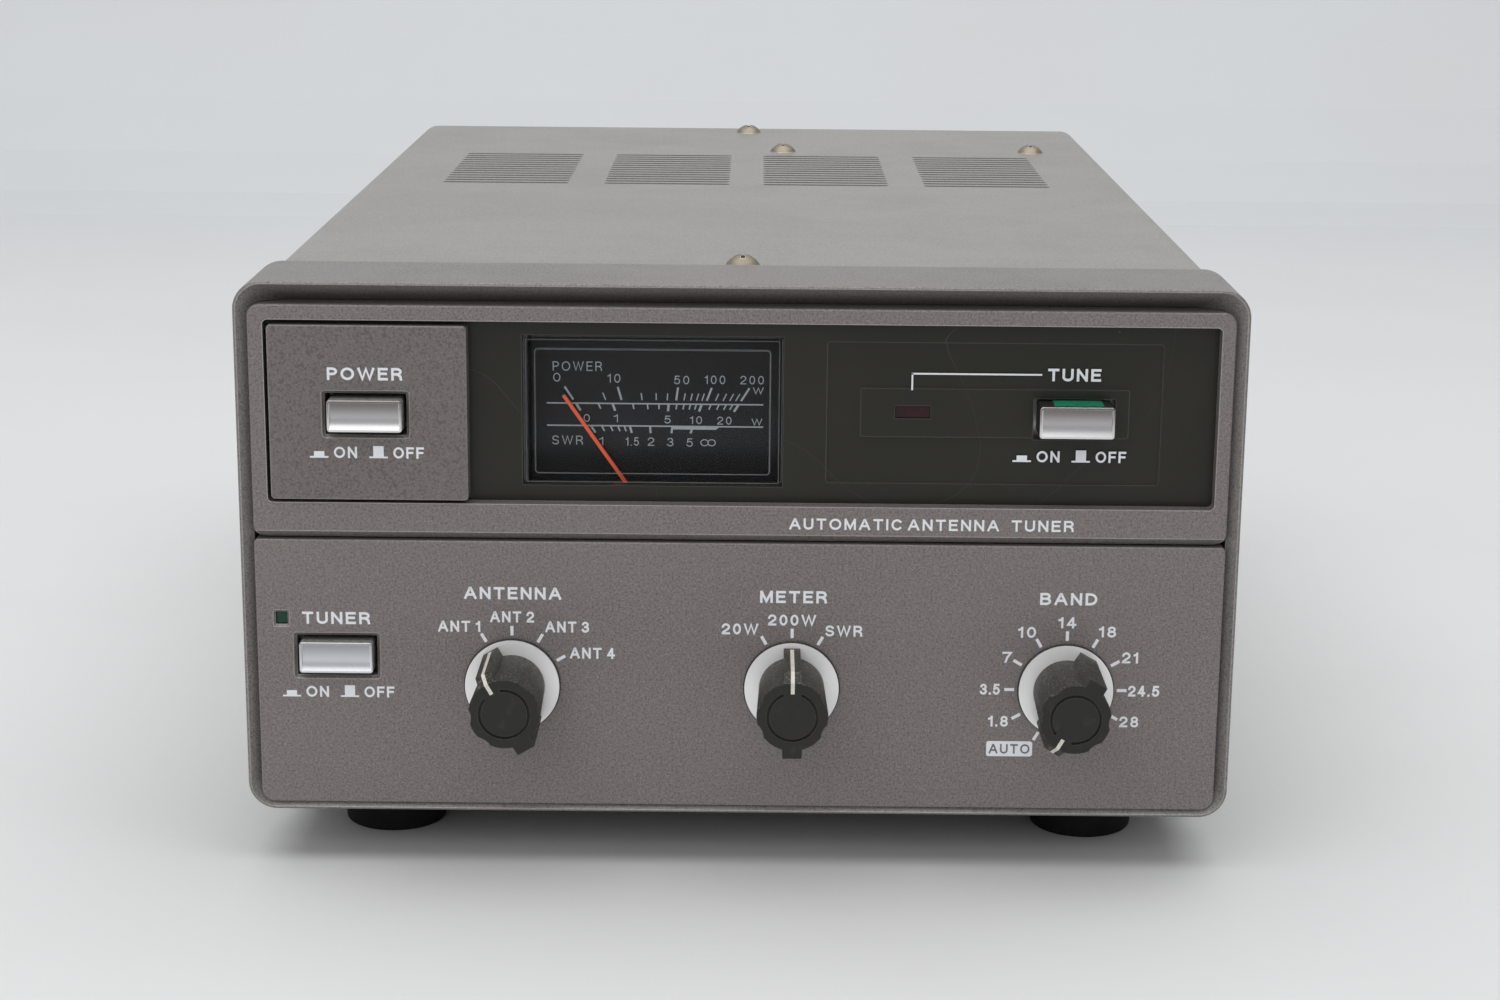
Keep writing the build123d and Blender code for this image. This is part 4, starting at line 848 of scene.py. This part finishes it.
def frame_legends():
    """White print on the frame round the display and on the power switch's plate."""
    bm = bmesh.new()
    face = front_of("display_frame")
    for words, x, width in (("AUTOMATIC", 18.4, 19.6), ("ANTENNA", 37.1, 15.8), ("TUNER", 52.6, 10.8)):
        letters(bm, words, x, 53.3, width, label_height, label_line, face)
    piece("display_frame_legends", bm, legend_white)
    bm = bmesh.new()
    face = front_of("power_switch_plate")
    letters(bm, "POWER", -64.5, 79.2, 12.9, heading_height, heading_line, face)
    on_off(bm, -64.5, 65.4, face)
    piece("switch_plate_legends", bm, legend_white)


def display_legends():
    """White print on the display panel: the tune button's words and the line that leads to its lamp."""
    face = front_of("display_panel")
    bm = bmesh.new()
    letters(bm, "TUNE", 57.5, 79.5, 9.15, heading_height, heading_line, face)
    on_off(bm, 57.0, 65.05, face)
    stroke(bm, ((51.9, 79.5), (29.4, 79.5)), 0.3, face - INK, face + INK)
    stroke(bm, ((29.55, 79.6), (29.55, 76.6)), 0.3, face - INK, face + INK)
    piece("display_panel_legends", bm, legend_white)


# ---------------------------------------------------------------- meter dial
dial_pivot = (-14.5, 50.2)
dial_zero = -33.3
dial_sweep = 65.8
power_line = 72.3
swr_line = 68.3
dial_lines_x = (-34.1, 3.9)
dial_line = 0.16


def power_deflection(share, bend, curl):
    """Share of the sweep at a share of full power: steep at first, then closing up."""
    raised = share ** bend
    return (1 + curl) * raised / (raised + curl)


def swr_deflection(ratio):
    """Share of the sweep at a standing wave ratio, from its reflection coefficient."""
    return 1 - (1 - (ratio - 1) / (ratio + 1)) ** 1.41


def dial_tick(bm, deflection, z_span, width, face):
    """Tick on the ray from the needle's pivot, between two heights."""
    angle = math.radians(dial_zero + dial_sweep * deflection)
    ends = [(dial_pivot[0] + (z - dial_pivot[1]) * math.tan(angle), z) for z in z_span]
    face = face - LAYER
    stroke(bm, (ends[0], ends[1]), width, face - INK, face + INK)


def dial_print():
    """Three scales: 200 W above the upper line, 20 W below it and the standing wave ratio at the bottom."""
    face = front_of("meter_dial")
    bm = bmesh.new()
    for line in (power_line, swr_line):
        stroke(bm, ((dial_lines_x[0], line), (dial_lines_x[1], line)), 0.24, face - INK, face + INK)
    for value in (0, 5, 10, 20, 30, 40, 50, 60, 70, 80, 90, 100, 120, 140, 160, 180, 200):
        marked = value in (0, 10, 50, 100, 200)
        share = power_deflection(value / 200, 0.75, 0.49)
        heights = (power_line + 0.65, power_line + (2.95 if marked else 1.9))
        dial_tick(bm, share, heights, 0.34 if marked else 0.2, face)
    for value in (0, 0.5, 1, 2, 3, 4, 5, 6, 7, 8, 9, 10, 12, 14, 16, 18, 20):
        marked = value in (0, 1, 5, 10, 20)
        share = power_deflection(value / 20, 0.876, 0.45)
        heights = (power_line - 0.1, power_line - (1.3 if marked else 0.95))
        dial_tick(bm, share, heights, 0.4 if marked else 0.24, face)
    for value in (1, 1.1, 1.2, 1.3, 1.4, 1.5, 2, 3, 5):
        marked = value in (1, 1.5, 2, 3, 5)
        heights = (swr_line - 0.1, swr_line - (1.25 if marked else 0.95))
        dial_tick(bm, swr_deflection(value), heights, 0.36 if marked else 0.24, face)
    over_line = face - INK - 2 * LAYER
    prism(bm, [(-12.0, 68.3), (-12.1, 67.75), (-4.4, 67.75), (-3.7, 68.3)], over_line, face + INK)
    for words, x, z, width, height in (
        ("POWER", -28.7, 78.9, 8.6, 1.65), ("0", -32.3, 76.9, 1.25, 1.55), ("10", -22.3, 76.8, 2.25, 1.55),
        ("50", -10.45, 76.6, 2.65, 1.5), ("100", -4.6, 76.7, 3.6, 1.5), ("200", 1.9, 76.7, 4.1, 1.5),
        ("W", 3.0, 74.8, 1.85, 1.2), ("0", -27.1, 69.65, 1.1, 1.4), ("1", -22.0, 69.65, 0.75, 1.4),
        ("5", -12.9, 69.5, 1.1, 1.4), ("10", -7.9, 69.45, 2.1, 1.4), ("20", -2.9, 69.4, 2.5, 1.4),
        ("W", 2.8, 69.2, 1.85, 1.2), ("SWR", -30.5, 65.65, 5.4, 1.6), ("1", -24.6, 65.5, 0.75, 1.5),
        ("1.5", -19.1, 65.5, 2.3, 1.5), ("2", -15.8, 65.5, 1.1, 1.5), ("3", -12.4, 65.45, 1.1, 1.5),
        ("5", -9.0, 65.4, 1.1, 1.5),
    ):
        letters(bm, words, x, z, width, height, dial_line, face)
    for lobe, layer in ((-0.62, 0), (0.62, LAYER)):
        loop = arc(-5.75 + lobe, 65.4, 0.66, 0.55, 0, 360, 20)
        stroke(bm, loop, dial_line, face - INK - layer, face + INK)
    piece("dial_scales", bm, dial_ink())


# ================================================================ knobs and flag
ridge_start = -1.9
ridge_radius = 7.45
slope_run = 1.9
slope_radius = 6.0
line_end_radius = 4.1


def pointer_lines():
    """White line along each knob's ridge, down its sloped front and over the end face."""
    paint = pointer_paint()
    half = 0.33
    proud, sunk = 0.03, 0.06
    for name, x in knob_x.items():
        face = front_of(name + "_knob")
        course = (
            (ridge_start, ridge_radius, 0, 1), (face + slope_run, ridge_radius, -0.35, 1),
            (face, slope_radius, -1, 0.5), (face, line_end_radius, -1, 0),
        )
        turn = Matrix.Rotation(math.radians(-knob_rest[name]), 2)
        bm = bmesh.new()
        loops = []
        for y, radius, lean_y, lean_r in course:
            loop = []
            for side, step in ((-half, proud), (half, proud), (half, -sunk), (-half, -sunk)):
                place = Vector((x, knob_z)) + turn @ Vector((side, radius + lean_r * step))
                loop.append(bm.verts.new(at(place.x, y + lean_y * step, place.y)))
            loops.append(loop)
        for first, second in zip(loops, loops[1:]):
            bridge(bm, first, second)
        bm.faces.new(loops[0])
        bm.faces.new(loops[-1][::-1])
        piece(name + "_pointer_line", bm, paint, name + "_knob")


flag_x = (53.8, 62.3)
flag_z = (74.8, 75.1)
flag_setback = (0.95, 4.9)


def tune_flag():
    """Green strip on the upper side of the tune button's cap."""
    face = front_of("tune_button")
    bm = bmesh.new()
    prism(bm, rounded(flag_x, flag_z, 0.1), face + flag_setback[0], face + flag_setback[1])
    piece("tune_flag", bm, flag_green(), "tune_button")


# ================================================================ rear sockets
coax_places = ((-68.0, 66.0), (-40.0, 66.0), (-68.0, 32.0), (-40.0, 32.0), (-10.0, 66.0))
thread_radius = 7.94
thread_pitch = 1.058
thread_depth = 0.55
bore_radius = 5.8
sleeve_radius = 5.4
bore_depth = 6.0
flange_size = 25.4
flange_thickness = 1.6
screw_offset = 9.1
neck_reach = 4.0
barrel_steps = 96
rows_per_turn = 6
notch_depth = 1.4
notch_half_angle = 9
lip_chamfer = 0.25


def coax_barrel(bm, x, z, base, mouth):
    """Threaded barrel: a helical ridge outside, four notches in the lip and a plain bore."""
    rows = int((mouth - base) / thread_pitch * rows_per_turn)

    def loop(radius_at, y_at):
        made = []
        for step in range(barrel_steps):
            angle = 2 * math.pi * step / barrel_steps
            radius = radius_at(angle)
            across, up = radius * math.cos(angle), radius * math.sin(angle)
            made.append(bm.verts.new(at(x + across, y_at(angle), z + up)))
        return made

    def lip(angle):
        """Where the lip stands, lower in its four notches."""
        from_notch = (math.degrees(angle) + 45) % 90 - 45
        return mouth - notch_depth if abs(abs(from_notch) - 45) < notch_half_angle else mouth

    loops = []
    for row in range(rows + 1):
        y = base + (mouth - base) * row / rows
        fade = min(1.0, (y - base) / 1.0, (mouth - y) / 1.2)

        def radius(angle, y=y, fade=fade):
            phase = (y / thread_pitch - angle / (2 * math.pi)) % 1
            return thread_radius - thread_depth * (1 - fade + fade * abs(2 * phase - 1))

        loops.append(loop(radius, lambda angle, y=y: min(y, lip(angle))))
    for radius, y in ((bore_radius + lip_chamfer, mouth), (bore_radius, mouth - lip_chamfer)):
        loops.append(loop(lambda angle, r=radius: r, lambda angle, y=y: min(y, lip(angle))))
    floor = mouth - bore_depth
    for radius, y in ((bore_radius, floor), (sleeve_radius, floor), (sleeve_radius, base)):
        loops.append(loop(lambda angle, r=radius: r, lambda angle, y=y: y))
    for first, second in zip(loops, loops[1:] + loops[:1]):
        bridge(bm, first, second)


def coax_flange(bm, x, z, wall):
    """Square plate with rounded corners, four screw holes and a bore for the barrel."""
    half = flange_size / 2
    edges = []
    outlines = [rounded((x - half, x + half), (z - half, z + half), 1.5)]
    holes = [(0, 0, sleeve_radius)]
    holes += [(a * screw_offset, b * screw_offset, 1.5) for a in (-1, 1) for b in (-1, 1)]
    for dx, dz, radius in holes:
        count = 40
        angles = [2 * math.pi * step / count for step in range(count)]
        outlines.append([(x + dx + radius * math.cos(a), z + dz + radius * math.sin(a)) for a in angles])
    for outline in outlines:
        corners = [bm.verts.new(at(px, wall + flange_thickness, pz)) for px, pz in outline]
        edges += [bm.edges.new((corners[i], corners[(i + 1) % len(corners)])) for i in range(len(corners))]
    sheet = bmesh.ops.triangle_fill(bm, use_beauty=True, use_dissolve=True, edges=edges)
    faces = [item for item in sheet["geom"] if isinstance(item, bmesh.types.BMFace)]
    solid = bmesh.ops.extrude_face_region(bm, geom=faces)
    moved = [item for item in solid["geom"] if isinstance(item, bmesh.types.BMVert)]
    bmesh.ops.translate(bm, verts=moved, vec=Vector((0, -flange_thickness * MM, 0)))


def coax_sockets():
    """Nickel shells with real threads in place of the plain packed ones."""
    wall = front_of("coax_shells") + neck_reach
    mouth = rear_of("coax_shells")
    bm = bmesh.new()
    for x, z in coax_places:
        coax_flange(bm, x, z, wall)
        coax_barrel(bm, x, z, wall + 0.2, mouth)
    shells = piece("coax_threaded_shells", bm, finishes["nickel_barrel"])
    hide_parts("coax_shells")


def rear_legends():
    """Plain function words by the rear sockets."""
    face = rear_of("rear_panel")
    bm = bmesh.new()
    for words, x, z in (
        ("ANT 1", -68.0, 81.3), ("ANT 2", -40.0, 81.3), ("ANT 3", -68.0, 47.3), ("ANT 4", -40.0, 47.3),
        ("INPUT", -10.0, 81.3), ("GND", -10.0, 42.5), ("CONTROL", 18.5, 78.0), ("FUSE", 55.0, 79.5),
    ):
        letters(bm, words, x, z, None, label_height, label_line, face, outward=1)
    piece("rear_panel_legends", bm, legend_white)


legend_white = legend_ink()
control_legends()
frame_legends()
display_legends()
dial_print()
pointer_lines()
tune_flag()
coax_sockets()
rear_legends()


# ================================================================ studio
floor_half = 2.2
wall_place = 0.95
wall_height = 1.6
sweep_radius = 0.25
camera_place = (2.768, -467.50, 171.59)
camera_yaw = -0.0022
camera_pitch = 0.2394
camera_roll = 0.0091
camera_lens = 66.64
sensor_width = 36.0


def backdrop():
    """Pale floor that sweeps up into a wall."""
    profile = [(-3.0, 0.0), (-1.0, 0.0), (0.3, 0.0)]
    for step in range(9):
        angle = math.radians(90 * step / 8)
        profile.append((
            wall_place - sweep_radius + sweep_radius * math.sin(angle), sweep_radius * (1 - math.cos(angle)),
        ))
    profile.append((wall_place, wall_height))
    bm = bmesh.new()
    sides = [[bm.verts.new((x, y, z)) for y, z in profile] for x in (-floor_half, floor_half)]
    for index in range(len(profile) - 1):
        bm.faces.new((sides[0][index], sides[1][index], sides[1][index + 1], sides[0][index + 1]))
    mesh = bpy.data.meshes.new("backdrop")
    bm.to_mesh(mesh)
    bm.free()
    paper = Finish("backdrop_paper", (0.71, 0.714, 0.716), 0.7)
    paper.tint(paper.along("Y", 500, 900), (0.68, 0.70, 0.715), 1.0)
    paper.tint(paper.blotches(160, 0.4, 0.7, 3.0), (0.66, 0.66, 0.66), 0.35)
    paper.relief(paper.noise(2.0, 3.0), 0.05)
    mesh.materials.append(paper.made())
    made = bpy.data.objects.new("backdrop", mesh)
    bpy.context.scene.collection.objects.link(made)


def softbox(name, place, size, power, aim=(0, 0, 0.05), colour=(1, 1, 1)):
    light = bpy.data.lights.new(name, "AREA")
    light.shape = "RECTANGLE"
    light.size, light.size_y = size
    light.energy = power
    light.color = colour
    lamp = bpy.data.objects.new(name, light)
    lamp.location = place
    lamp.rotation_euler = (Vector(aim) - Vector(place)).to_track_quat("-Z", "Y").to_euler()
    bpy.context.scene.collection.objects.link(lamp)


def studio():
    backdrop()
    softbox("overhead_softbox", (0.0, -0.10, 1.25), (1.8, 1.4), 14.5)
    softbox("front_softbox", (-0.5, -1.5, 0.9), (1.6, 0.9), 6.0)
    world = bpy.data.worlds.new("studio_air")
    world.use_nodes = True
    world.node_tree.nodes["Background"].inputs["Color"].default_value = (0.87, 0.87, 0.88, 1)
    world.node_tree.nodes["Background"].inputs["Strength"].default_value = 0.45
    bpy.context.scene.world = world
    bpy.context.scene.view_settings.view_transform = "Standard"


def camera():
    """Camera at the measured place: yaw about Z, then pitch down, then a slight roll."""
    ahead = Vector((
        math.sin(camera_yaw) * math.cos(camera_pitch),
        math.cos(camera_yaw) * math.cos(camera_pitch),
        -math.sin(camera_pitch),
    ))
    level = Vector((math.cos(camera_yaw), -math.sin(camera_yaw), 0))
    upright = level.cross(ahead)
    right = math.cos(camera_roll) * level + math.sin(camera_roll) * upright
    up = -math.sin(camera_roll) * level + math.cos(camera_roll) * upright
    data = bpy.data.cameras.new("camera")
    data.lens = camera_lens
    data.sensor_width = sensor_width
    made = bpy.data.objects.new("camera", data)
    turn = Matrix((right, up, -ahead)).transposed().to_4x4()
    made.matrix_world = Matrix.Translation(at(*camera_place)) @ turn
    bpy.context.scene.collection.objects.link(made)
    bpy.context.scene.camera = made


studio()
camera()

bpy.context.view_layer.update()
